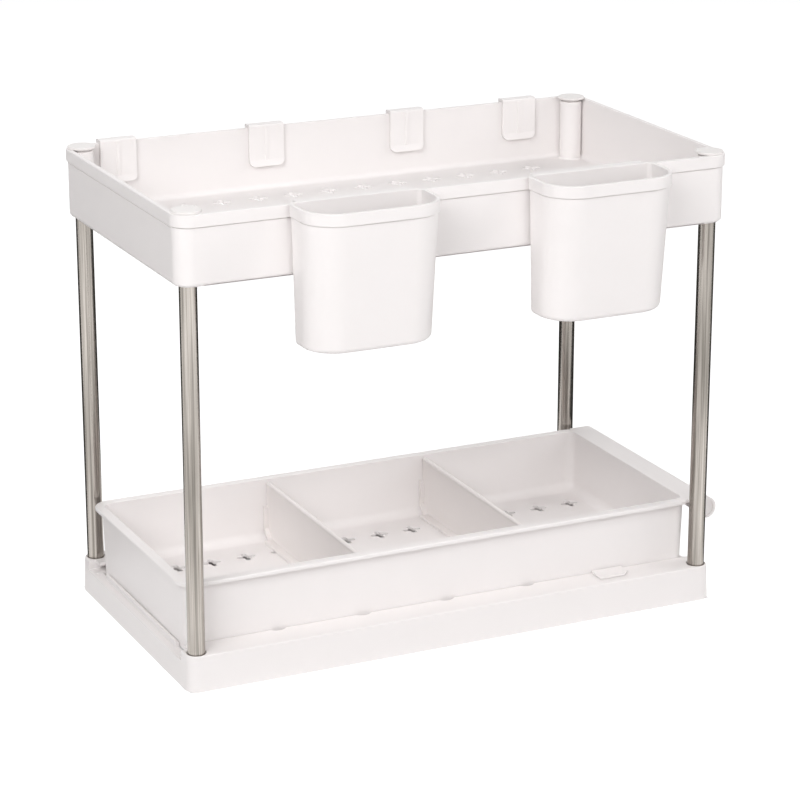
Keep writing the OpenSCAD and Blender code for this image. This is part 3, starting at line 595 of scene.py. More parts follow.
class ORGANIZER_OT_base(bpy.types.Operator):
    """Model the base: skirt, decks, slide channels, sills, straps and tube sockets"""
    bl_idname = "organizer.base"
    bl_label = "Base"

    def execute(self, context):
        b, t = sizes(context, "base"), sizes(context, "tube")
        deck_low = b.height - b.wall
        channel_low = deck_low - b.channel_h
        sill_in = b.deck_x - b.sill_w
        lip_in = sill_in - b.wall
        web_out = b.web_y + b.wall
        inner_x, inner_y, inner_r = b.deck_x - b.wall, b.deck_y - b.wall, b.corner_r - b.wall
        bm = bmesh.new()
        loops = stack(bm, [
            ring(b.deck_x + b.draft, b.deck_y + b.draft, b.corner_r + b.draft, 0),
            ring(b.deck_x, b.deck_y, b.corner_r, b.height),
            ring(sill_in, b.deck_in, 1.2, b.height),
            ring(sill_in, b.deck_in, 1.2, deck_low),
            ring(inner_x, inner_y, inner_r, deck_low),
            ring(inner_x + b.draft, inner_y + b.draft, inner_r + b.draft, 0),
        ], through=True)
        soften(bm, loops[1], b.edge_r, 3)
        soften(bm, loops[2], 0.25, 2)

        def end_gaps(tool):
            for _, side in ENDS:
                block(tool, (min(side * sill_in, side * 300), -b.end_gap_y, b.sill_h),
                      (max(side * sill_in, side * 300), b.end_gap_y, 60), 0.8, 3,
                      lambda c: abs(abs(c.y) - b.end_gap_y) < 0.01 and c.z < b.sill_h + 0.01)

        notch_r = (b.notch_w ** 2 / 4 + b.notch_d ** 2) / (2 * b.notch_d)

        def notches(tool):
            for _, side in SIDES:
                for k in range(1, 5):
                    middle = side * (b.deck_in + b.notch_d - notch_r)
                    turned(tool, [
                        (0, deck_low - 1), (notch_r, deck_low - 1), (notch_r, b.height - 0.4),
                        (notch_r + 0.5, b.height + 0.1), (0, b.height + 0.1)],
                        b.stop_x - k * b.notch_pitch, middle)

        def stop_slots(tool):
            for _, side in SIDES:
                near, far = side * (b.deck_in - 1), side * (b.deck_in + 3.2)
                block(tool, (b.stop_x - b.tooth_len / 2 - 0.6, min(near, far), deck_low - 0.5),
                      (b.stop_x + b.tooth_len / 2 + 0.6, max(near, far), b.height + 0.5))

        cut_away(bm, end_gaps, notches, stop_slots)

        def webs(tool):
            for _, side in SIDES:
                block(tool, (-inner_x - 0.5, min(side * b.web_y, side * web_out), channel_low - b.wall),
                      (inner_x + 0.5, max(side * b.web_y, side * web_out), b.height - 0.6))

        def ledges(tool):
            for _, side in SIDES:
                low, high = sorted((side * b.ledge_in, side * (b.web_y + 0.2)))
                block(tool, (-inner_x - 0.5, low, channel_low - b.wall), (inner_x + 0.5, high, channel_low), 0.4, 2,
                      lambda c: abs(abs(c.y) - b.ledge_in) < 0.01)

        def ribs(tool):
            for _, side in SIDES:
                low, high = sorted((side * (web_out - 0.2), side * (inner_y + 0.5)))
                for x in spread(6, b.notch_pitch):
                    block(tool, (x - b.rib_t / 2, low, channel_low), (x + b.rib_t / 2, high, deck_low + 0.3))

        def sills(tool):
            for _, side in ENDS:
                low, high = sorted((side * lip_in, side * (inner_x + 0.6)))
                block(tool, (low, -b.web_y - 0.2, b.sill_h - b.wall), (high, b.web_y + 0.2, b.sill_h))

        def lips(tool):
            for _, side in ENDS:
                low, high = sorted((side * sill_in, side * lip_in))
                top = b.sill_h + (b.lip_h if side < 0 else 0)
                block(tool, (low, -b.lip_y, 0), (high, b.lip_y, top), 0.6, 3, lambda c: c.z > top - 0.01)

        def straps(tool):
            for x in spread(3, b.strap_pitch):
                block(tool, (x - b.strap_w / 2, 0.3 - b.deck_y, 0), (x + b.strap_w / 2, b.deck_y - 0.3, b.wall))
            for _, side in ENDS:
                low, high = sorted((side * (lip_in + 0.3), side * (b.deck_x - 0.3)))
                block(tool, (low, 0.3 - b.lip_y, 0), (high, b.lip_y - 0.3, b.wall))

        def bosses(tool):
            for _, sx, sy in CORNERS:
                turned(tool, [(0, 0), (7.6, 0), (7.6, b.height - 0.8), (0, b.height - 0.8)], sx * t.x, sy * t.y)

        joined(bm, webs, ledges, ribs, sills, lips, straps, bosses)
        socket_r = t.radius + t.fit

        def sockets(tool):
            for _, sx, sy in CORNERS:
                turned(tool, [
                    (0, b.socket_floor), (socket_r, b.socket_floor), (socket_r, b.height - b.mouth_d),
                    (socket_r + b.mouth_w, b.height - b.mouth_d / 2), (socket_r + b.mouth_w, b.height + 0.1),
                    (0, b.height + 0.1)], sx * t.x, sy * t.y)

        cut_away(bm, sockets)
        finish_piece("base_moulding", bm, "base_frame", "frame", shell_plastic(context))
        return {"FINISHED"}


class ORGANIZER_OT_stops(bpy.types.Operator):
    """Model the two snap-in clips that stop the drawer"""
    bl_idname = "organizer.stops"
    bl_label = "Drawer stops"

    def execute(self, context):
        b, d = sizes(context, "base"), sizes(context, "drawer")
        near = b.deck_in + 0.4
        left, right = b.stop_x - b.stop_len / 2, b.stop_x + b.stop_len / 2
        deck_low = b.height - b.wall
        tooth_low = d.low_z + d.runner_t + 0.4
        for name, side in SIDES:
            bm = bmesh.new()
            far = near + b.stop_w
            corners = [
                (left, near), (right, near), (right, far - b.stop_cut), (right - b.stop_cut, far), (left, far)]
            under = b.height + b.stop_foot
            sheet_of(bm, [(x, side * y, under) for x, y in corners], (0, 0, b.stop_t - b.stop_foot), 0.9)
            top = [e for e in bm.edges if min(v.co.z for v in e.verts) > b.height + b.stop_t - 0.01]
            soften(bm, top, 0.35, 2)

            def foot(tool):
                low, high = sorted((side * near, side * (far - b.stop_foot_in)))
                block(tool, (left + b.stop_foot_in, low, b.height), (right - b.stop_cut, high, under + 0.3))

            def tooth(tool):
                low, high = sorted((side * near, side * (near + b.tooth_t)))
                block(tool, (b.stop_x - b.tooth_len / 2, low, tooth_low),
                      (b.stop_x + b.tooth_len / 2, high, b.height + 0.3), 0.3, 2, lambda c: c.z < tooth_low + 0.01)

            def nib(tool):
                low, high = sorted((side * (near + 0.2), side * (near + b.tooth_t + b.nib_w)))
                block(tool, (b.stop_x - b.tooth_len / 2, low, tooth_low),
                      (b.stop_x + b.tooth_len / 2, high, deck_low - 0.2))

            joined(bm, foot, tooth, nib)
            finish_piece(f"stop_clip_{name}", bm, f"stop_{name}", "frame", shell_plastic(context))
        return {"FINISHED"}


class ORGANIZER_OT_tubes(bpy.types.Operator):
    """Model the four brushed steel tubes"""
    bl_idname = "organizer.tubes"
    bl_label = "Tubes"

    def execute(self, context):
        t = sizes(context, "tube")
        finish = context.scene.organizer_finish
        steel = brushed_steel("brushed_stainless_steel", finish.steel, finish.steel_dark)
        edge = 0.25
        for name, sx, sy in CORNERS:
            node = "tube_" + name
            low, high = (corner.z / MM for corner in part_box(node))
            bore = t.radius - t.wall
            bm = bmesh.new()
            turned(bm, [
                (bore, low + edge), (bore + edge, low), (t.radius - edge, low), (t.radius, low + edge),
                (t.radius, high - edge), (t.radius - edge, high), (bore + edge, high), (bore, high - edge)],
                sx * t.x, sy * t.y, closed=True)
            finish_piece("steel_" + node, bm, node, "frame", steel)
        return {"FINISHED"}


class ORGANIZER_OT_caps(bpy.types.Operator):
    """Model the four caps with their plugs"""
    bl_idname = "organizer.caps"
    bl_label = "Corner caps"

    def execute(self, context):
        t, y = sizes(context, "tube"), sizes(context, "tray")
        plastic = moulded_plastic("moulded_polypropylene_cap", context.scene.organizer_finish.cap, 0.36)
        for name, sx, sy in CORNERS:
            bm = bmesh.new()
            top, e = y.rim_z + t.cap_t, t.cap_edge
            turned(bm, [
                (0, y.rim_z - t.plug_len), (t.plug_r - 0.6, y.rim_z - t.plug_len),
                (t.plug_r, y.rim_z - t.plug_len + 1.2), (t.plug_r, y.rim_z), (t.cap_r - 0.15, y.rim_z),
                (t.cap_r, y.rim_z + 0.15), (t.cap_r, top - e), (t.cap_r - 0.3 * e, top - 0.3 * e),
                (t.cap_r - e, top), (0, top)], sx * t.x, sy * t.y)
            finish_piece("disc_cap_" + name, bm, "cap_" + name, "frame", plastic)
        return {"FINISHED"}


class ORGANIZER_OT_tray(bpy.types.Operator):
    """Model the top tray with its rim band, sleeves and drain holes"""
    bl_idname = "organizer.tray"
    bl_label = "Top tray"

    def execute(self, context):
        y, t = sizes(context, "tray"), sizes(context, "tube")
        body_x, body_y, body_r = y.rim_x - y.band_t, y.rim_y - y.band_t, y.rim_r - y.band_t
        in_x, in_y, in_r = body_x - y.wall, body_y - y.wall, body_r - y.wall
        foot = (in_x - y.round_r, in_y - y.round_r, in_r - y.round_r)
        band_low = y.rim_z - y.band_h
        bm = bmesh.new()
        loops = stack(bm, [
            ring(*foot, y.low_z + y.recess),
            ring(*foot, y.low_z),
            ring(body_x, body_y, body_r, y.low_z),
            ring(body_x, body_y, body_r, band_low - y.groove_w),
            ring(body_x - y.groove_d, body_y - y.groove_d, body_r - y.groove_d, band_low - y.groove_w),
            ring(body_x - y.groove_d, body_y - y.groove_d, body_r - y.groove_d, band_low),
            ring(y.rim_x, y.rim_y, y.rim_r, band_low),
            ring(y.rim_x, y.rim_y, y.rim_r, y.rim_z),
            ring(in_x, in_y, in_r, y.rim_z),
            ring(in_x, in_y, in_r, y.floor_z),
        ])
        soften(bm, loops[9], y.round_r, 6)
        soften(bm, loops[2], y.round_r, 6)
        soften(bm, loops[6], 0.3, 2)
        soften(bm, loops[7], y.edge_r, 4)
        soften(bm, loops[8], 0.6, 3)

        def sleeves(tool):
            base = y.floor_z - 1
            arc = [math.radians(a) for a in (90, 68, 45, 22, 0)]
            for _, sx, sy in CORNERS:
                curve = [
                    (y.sleeve_r + y.flare * (1 - math.cos(a)), y.floor_z + y.flare * (1 - math.sin(a)))
                    for a in arc]
                neck_z, neck_r = y.rim_z - y.neck_h, y.sleeve_r - y.neck_d
                turned(tool, [(0, base), (y.sleeve_r + y.flare, base)] + curve + [
                    (y.sleeve_r, neck_z - 0.3), (y.sleeve_r - 0.3, neck_z), (neck_r, neck_z),
                    (neck_r, y.rim_z), (0, y.rim_z)], sx * t.x, sy * t.y)

        def drills(tool):
            shoulder, socket_r = y.rim_z - y.shoulder, t.radius + t.fit
            for _, sx, sy in CORNERS:
                turned(tool, [
                    (0, y.low_z - 1), (socket_r + 0.4, y.low_z - 1), (socket_r + 0.4, y.low_z), (socket_r, y.low_z + 1),
                    (socket_r, shoulder), (t.plug_r + 0.2, shoulder), (t.plug_r + 0.2, y.rim_z + 1),
                    (0, y.rim_z + 1)], sx * t.x, sy * t.y)

        def foot_lines(tool):
            line_z = y.low_z + y.line_low
            for _, side in SIDES:
                near, far = sorted((side * (body_y - y.round_r), side * (body_y + 1)))
                block(tool, (8 - t.x, near, line_z), (t.x - 8, far, line_z + y.line_w))

        def end_lines(tool):
            """The groove under the band is wider at the ends, where the band hides more of it."""
            reach = body_y - body_r
            for _, side in ENDS:
                near, far = sorted((side * (body_x - y.groove_d), side * (body_x + 0.2)))
                block(tool, (near, -reach, band_low - y.groove_end), (far, reach, band_low - 0.01))

        joined(bm, sleeves)
        columns, rows = spread(12, y.drain_pitch), spread(4, y.row_pitch)
        thick = y.floor_z - y.low_z
        cut_away(
            bm, drills, foot_lines, end_lines,
            drain_arms(columns, rows, y.floor_z, thick, y.drain_span / 2, y.drain_w / 2),
            drain_arms(columns, rows, y.floor_z, thick, y.drain_w / 2, y.drain_span / 2))
        finish_piece("tray_moulding", bm, "top_tray", "frame", shell_plastic(context))
        return {"FINISHED"}


class ORGANIZER_OT_drawer(bpy.types.Operator):
    """Model the drawer with its rim, cove, drain holes, runners, lugs and rolled grip"""
    bl_idname = "organizer.drawer"
    bl_label = "Drawer"

    def execute(self, context):
        d, y, b = sizes(context, "drawer"), sizes(context, "tray"), sizes(context, "base")
        low, high = (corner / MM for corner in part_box("drawer"))
        top_x, top_y = d.low_x + d.draft, d.low_y + d.draft
        mid_x = low.x + d.rim_w + top_x

        def wall_at(z, extra, radius):
            lean = d.draft * (z - d.low_z) / (d.top_z - d.low_z)
            return ring(d.low_x + lean + extra, d.low_y + lean + extra, radius, z, mid_x)

        under_r = d.corner_r - d.wall
        rim_low = d.top_z - d.rim_h
        cove_steps = 6
        cove = []
        for k in range(cove_steps + 1):
            a = math.pi / 2 * k / cove_steps
            cove.append(wall_at(
                d.floor_z + d.cove * (1 - math.sin(a)), -d.wall - d.cove * (1 - math.cos(a)), under_r))
        under = ring(d.low_x - d.wall, d.low_y - d.wall, under_r, d.under_z, mid_x)
        bm = bmesh.new()
        loops = stack(bm, [
            under,
            under._replace(z=d.low_z),
            wall_at(d.low_z, 0, d.corner_r),
            wall_at(rim_low, 0, d.corner_r),
            ring(top_x + d.rim_w, top_y + d.rim_w, d.corner_r + d.rim_w, rim_low, mid_x),
            ring(top_x + d.rim_w, top_y + d.rim_w, d.corner_r + d.rim_w, d.top_z, mid_x),
            wall_at(d.top_z, -d.wall, under_r),
        ] + cove)
        soften(bm, loops[6], 0.7, 3)
        soften(bm, loops[5], 1.0, 4)
        soften(bm, loops[4], 0.5, 2)

        def runners(tool):
            length_x = d.low_x - d.corner_r
            for _, side in SIDES:
                inner, outer = sorted((side * (d.low_y - d.wall / 2), side * (d.low_y + d.runner_w)))
                block(tool, (mid_x - length_x, inner, d.low_z), (mid_x + length_x, outer, d.low_z + d.runner_t), 0.4, 2,
                      lambda c: abs(abs(c.y) - d.low_y - d.runner_w) < 0.01)

        lug_right = b.stop_x - b.tooth_len / 2 - d.travel - 0.2

        def lugs(tool):
            for _, side in SIDES:
                inner, outer = sorted((side * (d.low_y - d.wall / 2), side * (d.low_y + d.runner_w - 0.4)))
                block(tool, (lug_right - d.lug_len, inner, d.low_z + 0.4), (lug_right, outer, d.lug_top), 0.3, 2,
                      lambda c: c.z > d.lug_top - 0.01)

        roll_x, roll_z = mid_x + top_x + d.grip_w - 0.03, d.top_z - d.grip_r
        grip_half = top_y + d.rim_w

        def grip(tool):
            start_x = mid_x + top_x - d.wall / 2
            section = [
                tool.verts.new((start_x, -grip_half, d.top_z)),
                tool.verts.new((start_x, -grip_half, d.top_z - d.grip_t)),
                tool.verts.new((roll_x, -grip_half, d.top_z - d.grip_t)),
                tool.verts.new((roll_x, -grip_half, d.top_z)),
            ]
            face = tool.faces.new(section)
            edge = next(e for e in face.edges if set(e.verts) == set(section[2:]))
            bmesh.ops.spin(
                tool, geom=[edge] + section[2:], cent=(roll_x, 0, roll_z), axis=(0, 1, 0),
                angle=math.pi, steps=14)
            made = bmesh.ops.extrude_face_region(tool, geom=tool.faces[:])["geom"]
            bmesh.ops.translate(
                tool, vec=(0, 2 * grip_half, 0), verts=[g for g in made if isinstance(g, bmesh.types.BMVert)])
            bmesh.ops.recalc_face_normals(tool, faces=tool.faces[:])
            long_edges = [
                e for e in tool.edges
                if abs(e.verts[0].co.y - e.verts[1].co.y) > grip_half and e.calc_face_angle(0) > 1.2
                and e.verts[0].co.z < roll_z]
            soften(tool, long_edges, 0.7, 3)

        def roll_ends(tool):
            """Thin webs just inside the two ends of the roll."""
            bore = d.grip_r - d.grip_t
            turned(tool, [(0, 0), (bore + 0.3, 0), (bore + 0.3, d.web_t), (0, d.web_t)], 0, 0)
            geom = tool.verts[:] + tool.edges[:] + tool.faces[:]
            cut = bmesh.ops.bisect_plane(
                tool, geom=geom, plane_co=(0, 0, 0), plane_no=(-1, 0, 0), clear_outer=True)["geom_cut"]
            bmesh.ops.edgenet_fill(tool, edges=[g for g in cut if isinstance(g, bmesh.types.BMEdge)])
            bmesh.ops.recalc_face_normals(tool, faces=tool.faces[:])
            place = Matrix.Translation((roll_x, d.web_in - grip_half, roll_z)) @ Matrix.Rotation(-math.pi / 2, 4, "X")
            bmesh.ops.transform(tool, matrix=place, verts=tool.verts[:])
            twin = bmesh.ops.duplicate(tool, geom=tool.verts[:] + tool.edges[:] + tool.faces[:])["geom"]
            bmesh.ops.translate(
                tool, vec=(0, 2 * (grip_half - d.web_in) - d.web_t, 0),
                verts=[g for g in twin if isinstance(g, bmesh.types.BMVert)])

        joined(bm, runners, lugs, grip, roll_ends)
        flat = d.low_x - d.wall - d.cove - y.drain_span / 2
        half_count = math.floor(flat / d.drain_pitch - 0.5)
        columns = [mid_x + x for x in spread(2 * half_count + 2, d.drain_pitch)]
        rows = spread(3, d.row_pitch)
        thick = d.floor_z - d.under_z
        cut_away(
            bm,
            drain_arms(columns, rows, d.floor_z, thick, y.drain_span / 2, y.drain_w / 2),
            drain_arms(columns, rows, d.floor_z, thick, y.drain_w / 2, y.drain_span / 2))
        plastic = moulded_plastic("moulded_polypropylene_drawer", context.scene.organizer_finish.drawer)
        finish_piece("drawer_moulding", bm, "drawer", "drawer", plastic)
        return {"FINISHED"}


class ORGANIZER_OT_dividers(bpy.types.Operator):
    """Model the two loose dividers of the drawer"""
    bl_idname = "organizer.dividers"
    bl_label = "Dividers"

    def execute(self, context):
        d = sizes(context, "drawer")
        plastic = moulded_plastic("moulded_polypropylene_divider", context.scene.organizer_finish.divider)
        low_z = d.floor_z + 0.2
        cut = d.cove + 1

        def half_at(z):
            return d.low_y + d.draft * (z - d.low_z) / (d.top_z - d.low_z) - d.wall

        def shape(top, x):
            knee = half_at(low_z + cut) - 0.4
            foot = half_at(low_z) - 0.4 - cut
            edge = half_at(top) - 0.4
            return [
                (x, -edge, top), (x, -knee, low_z + cut), (x, -foot, low_z),
                (x, foot, low_z), (x, knee, low_z + cut), (x, edge, top)]

        for name, _ in ENDS:
            node = "divider_" + name
            low, high = (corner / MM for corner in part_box(node))
            face_x = low.x + d.foot_w
            middle = face_x + d.divider_t / 2
            bm = bmesh.new()
            sheet_of(bm, shape(d.divider_top, face_x), (d.divider_t, 0, 0))

            def bead(tool):
                reach = half_at(d.divider_top) - 0.8
                ends = [(0, 0), (d.bead_r - 0.4, 0), (d.bead_r, 0.4), (d.bead_r, 2 * reach - 0.4),
                        (d.bead_r - 0.4, 2 * reach), (0, 2 * reach)]
                turned(tool, ends, 0, 0)
                turn = Matrix.Rotation(-math.pi / 2, 4, "X")
                bmesh.ops.transform(
                    tool, matrix=Matrix.Translation((middle, -reach, d.divider_top)) @ turn, verts=tool.verts[:])

            def flange(tool):
                face = tool.faces.new([tool.verts.new(p) for p in shape(d.flange_top, face_x + 0.01)])
                face.normal_update()
                made = bmesh.ops.inset_region(
                    tool, faces=[face], thickness=d.flange_t, use_even_offset=True, use_boundary=True)["faces"]
                top_rim = max(made, key=lambda f: f.calc_center_median().z)
                bmesh.ops.delete(tool, geom=[face, top_rim], context="FACES")
                geom = bmesh.ops.extrude_face_region(tool, geom=tool.faces[:])["geom"]
                bmesh.ops.translate(
                    tool, vec=(-d.flange_w, 0, 0), verts=[g for g in geom if isinstance(g, bmesh.types.BMVert)])
                bmesh.ops.recalc_face_normals(tool, faces=tool.faces[:])

            def foot(tool):
                reach = half_at(low_z) - 0.4 - cut
                block(tool, (low.x, -reach, low_z), (face_x + 0.3, reach, low_z + d.flange_t), 0.4, 2,
                      lambda c: c.z > low_z + d.flange_t - 0.01 and c.x < low.x + 0.01)

            joined(bm, bead, flange, foot)
            finish_piece("plate_" + node, bm, node, node, plastic)
        return {"FINISHED"}


class ORGANIZER_OT_cups(bpy.types.Operator):
    """Model the two tapered cups that hang on the front rim"""
    bl_idname = "organizer.cups"
    bl_label = "Hanging cups"

    def execute(self, context):
        h = sizes(context, "hanging")
        steps = 6
        back_step = 0.2
        inner_r = h.back_r - h.cup_wall
        for name, _ in ENDS:
            node = "cup_" + name
            low, high = (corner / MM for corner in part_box(node))
            mid_x = (low.x + high.x) / 2
            band_low = h.cup_top - h.cup_band_h

            def slab(z, inset=0.0, back_in=back_step, back_r=h.back_r):
                """A D-shaped ring of the cup at height z, drawn in by inset at its front and sides."""
                share = (h.cup_top - z) / (h.cup_top - h.cup_low)
                half = h.cup_w / 2 - h.taper * share - inset
                front = h.front_taper * share + inset - h.cup_back - h.cup_d
                return Ring(
                    mid_x - half, mid_x + half, front, -h.cup_back - back_in, h.front_r - inset, back_r, z)

            rings = []
            for k in range(steps + 1):
                a = math.pi / 2 * k / steps
                rings.append(slab(h.cup_low + h.cup_round * (1 - math.cos(a)), h.cup_round * (1 - math.sin(a))))
            rings.append(slab(band_low - h.groove_w))
            for z in (band_low - h.groove_w, band_low):
                rings.append(slab(z, h.groove_d, back_step + 0.2))
            rim = slab(h.cup_top, -h.cup_band_t, 0)
            rings += [rim._replace(z=band_low), rim, slab(h.cup_top, h.cup_wall, h.cup_wall, inner_r)]
            inner_low = h.cup_low + h.cup_wall
            for k in range(steps + 1):
                a = math.pi / 2 * k / steps
                rings.append(slab(
                    inner_low + h.cup_round * (1 - math.sin(a)), h.cup_wall + h.cup_round * (1 - math.cos(a)),
                    h.cup_wall, inner_r))
            bm = bmesh.new()
            loops = stack(bm, rings)
            soften(bm, loops[steps + 6], 0.7, 3)
            soften(bm, loops[steps + 5], 0.7, 4)
            soften(bm, loops[steps + 4], 0.3, 2)

            def hanger(tool):
                half = h.cup_w / 2 - h.hanger_in
                far, near = -h.cup_back - h.cup_wall + 0.4, h.cup_wall - h.leg_out
                block(tool, (mid_x - half, far, h.hang_z), (mid_x + half, near, h.cup_top), 0.6, 3,
                      lambda c: c.z > h.cup_top - 0.01 and c.y > far + 0.01)

            def leg(tool):
                half = h.cup_w / 2 - h.hanger_in
                block(tool, (mid_x - half, -h.leg_out, h.cup_top - h.hanger_h),
                      (mid_x + half, h.cup_wall - h.leg_out, h.hang_z + 0.5), 0.5, 2,
                      lambda c: c.z < h.cup_top - h.hanger_h + 0.01)

            joined(bm, hanger, leg)
            finish_piece("moulded_" + node, bm, node, node, shell_plastic(context))
        return {"FINISHED"}


class ORGANIZER_OT_hooks(bpy.types.Operator):
    """Model the four hooks that hang on the back rim"""
    bl_idname = "organizer.hooks"
    bl_label = "Hanging hooks"

    def execute(self, context):
        h = sizes(context, "hanging")
        for number in range(1, 5):
            node = f"hook_{number}"
            low, high = (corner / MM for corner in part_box(node))
            mid_x = (low.x + high.x) / 2
            half = h.hook_w / 2
            top = h.hang_z + h.hook_t
            leg_in = h.leg_out - h.hook_t
            plate_in = h.cup_back
            plate_out = plate_in + h.hook_t
            leg_low = top - h.leg_h

            def stand(bm, y_back):
                """Stands a flat shape up, its underside at y_back, with its top edge at the hook's top."""
                place = Matrix.Translation((0, y_back, top)) @ Matrix.Rotation(math.pi / 2, 4, "X")
                bmesh.ops.transform(bm, matrix=place, verts=bm.verts[:])

            def plate(bm, y_front, height):
                """An upright plate with round lower corners, its front face at y_front."""
                shape = Ring(mid_x - half, mid_x + half, -height, -h.bend_r, h.plate_r, 0, 0)
                loops = stack(bm, [shape, shape._replace(z=h.hook_t)])
                soften(bm, loops[0] + loops[1], 0.35, 2)
                stand(bm, y_front + h.hook_t)

            bm = bmesh.new()
            plate(bm, leg_in, h.leg_h)

            def outer_plate(tool):
                plate(tool, plate_in, h.plate_h)

            def bridge(tool):
                block(tool, (mid_x - half, leg_in, h.hang_z), (mid_x + half, plate_out, top), h.bend_r, 4,
                      lambda c: c.z > top - 0.01 and abs(c.x - mid_x) < half - 0.01)

            def rib(tool):
                block(tool, (mid_x - h.rib_w / 2, leg_in - h.rib_t, leg_low + h.plate_r),
                      (mid_x + h.rib_w / 2, leg_in + 0.5, top - h.hook_t), 0.35, 2,
                      lambda c: c.y < leg_in - h.rib_t + 0.01)

            def pull_lip(tool):
                """A flange with round corners that flares out towards the leg's lower edge."""
                sunk, rise = 0.5, 1.3 * h.lip_h
                root = Ring(mid_x - half, mid_x + half, -h.leg_h, h.plate_r + rise - h.leg_h, h.plate_r, 0, 0)
                loops = stack(tool, [root, root._replace(z=h.lip_d + sunk)])
                soften(tool, loops[1], 0.35, 2)
                stand(tool, leg_in + sunk)
                wedge = bmesh.new()
                sheet_of(wedge, [
                    (mid_x - half - 1, leg_in + sunk, leg_low - 1),
                    (mid_x - half - 1, leg_in - 1.3 * h.lip_d, leg_low - 1),
                    (mid_x - half - 1, leg_in, leg_low + rise),
                    (mid_x - half - 1, leg_in + sunk, leg_low + rise)], (h.hook_w + 2, 0, 0))
                combine(tool, wedge, "INTERSECT")

            bend_z = top - h.plate_h - h.finger_drop

            def finger(tool):
                edge_half = h.finger_w / 2
                start = bend_z + h.finger_drop + h.plate_r
                section = [
                    tool.verts.new((mid_x - edge_half, plate_in, start)),
                    tool.verts.new((mid_x - edge_half, plate_out, start)),
                    tool.verts.new((mid_x - edge_half, plate_out, bend_z)),
                    tool.verts.new((mid_x - edge_half, plate_in, bend_z)),
                ]
                face = tool.faces.new(section)
                edge = next(e for e in face.edges if set(e.verts) == set(section[2:]))
                spun = bmesh.ops.spin(
                    tool, geom=[edge] + section[2:], cent=(mid_x, plate_out + h.finger_r, bend_z), axis=(1, 0, 0),
                    angle=math.pi, steps=14)["geom_last"]
                last_edge = [g for g in spun if isinstance(g, bmesh.types.BMEdge)]
                geom = bmesh.ops.extrude_edge_only(tool, edges=last_edge)["geom"]
                bmesh.ops.translate(
                    tool, vec=(0, 0, h.finger_tip), verts=[g for g in geom if isinstance(g, bmesh.types.BMVert)])
                geom = bmesh.ops.extrude_face_region(tool, geom=tool.faces[:])["geom"]
                bmesh.ops.translate(
                    tool, vec=(h.finger_w, 0, 0), verts=[g for g in geom if isinstance(g, bmesh.types.BMVert)])
                bmesh.ops.recalc_face_normals(tool, faces=tool.faces[:])

            joined(bm, outer_plate, bridge, rib, pull_lip, finger)
            finish_piece("clip_" + node, bm, node, node, shell_plastic(context))
        return {"FINISHED"}


# Stage


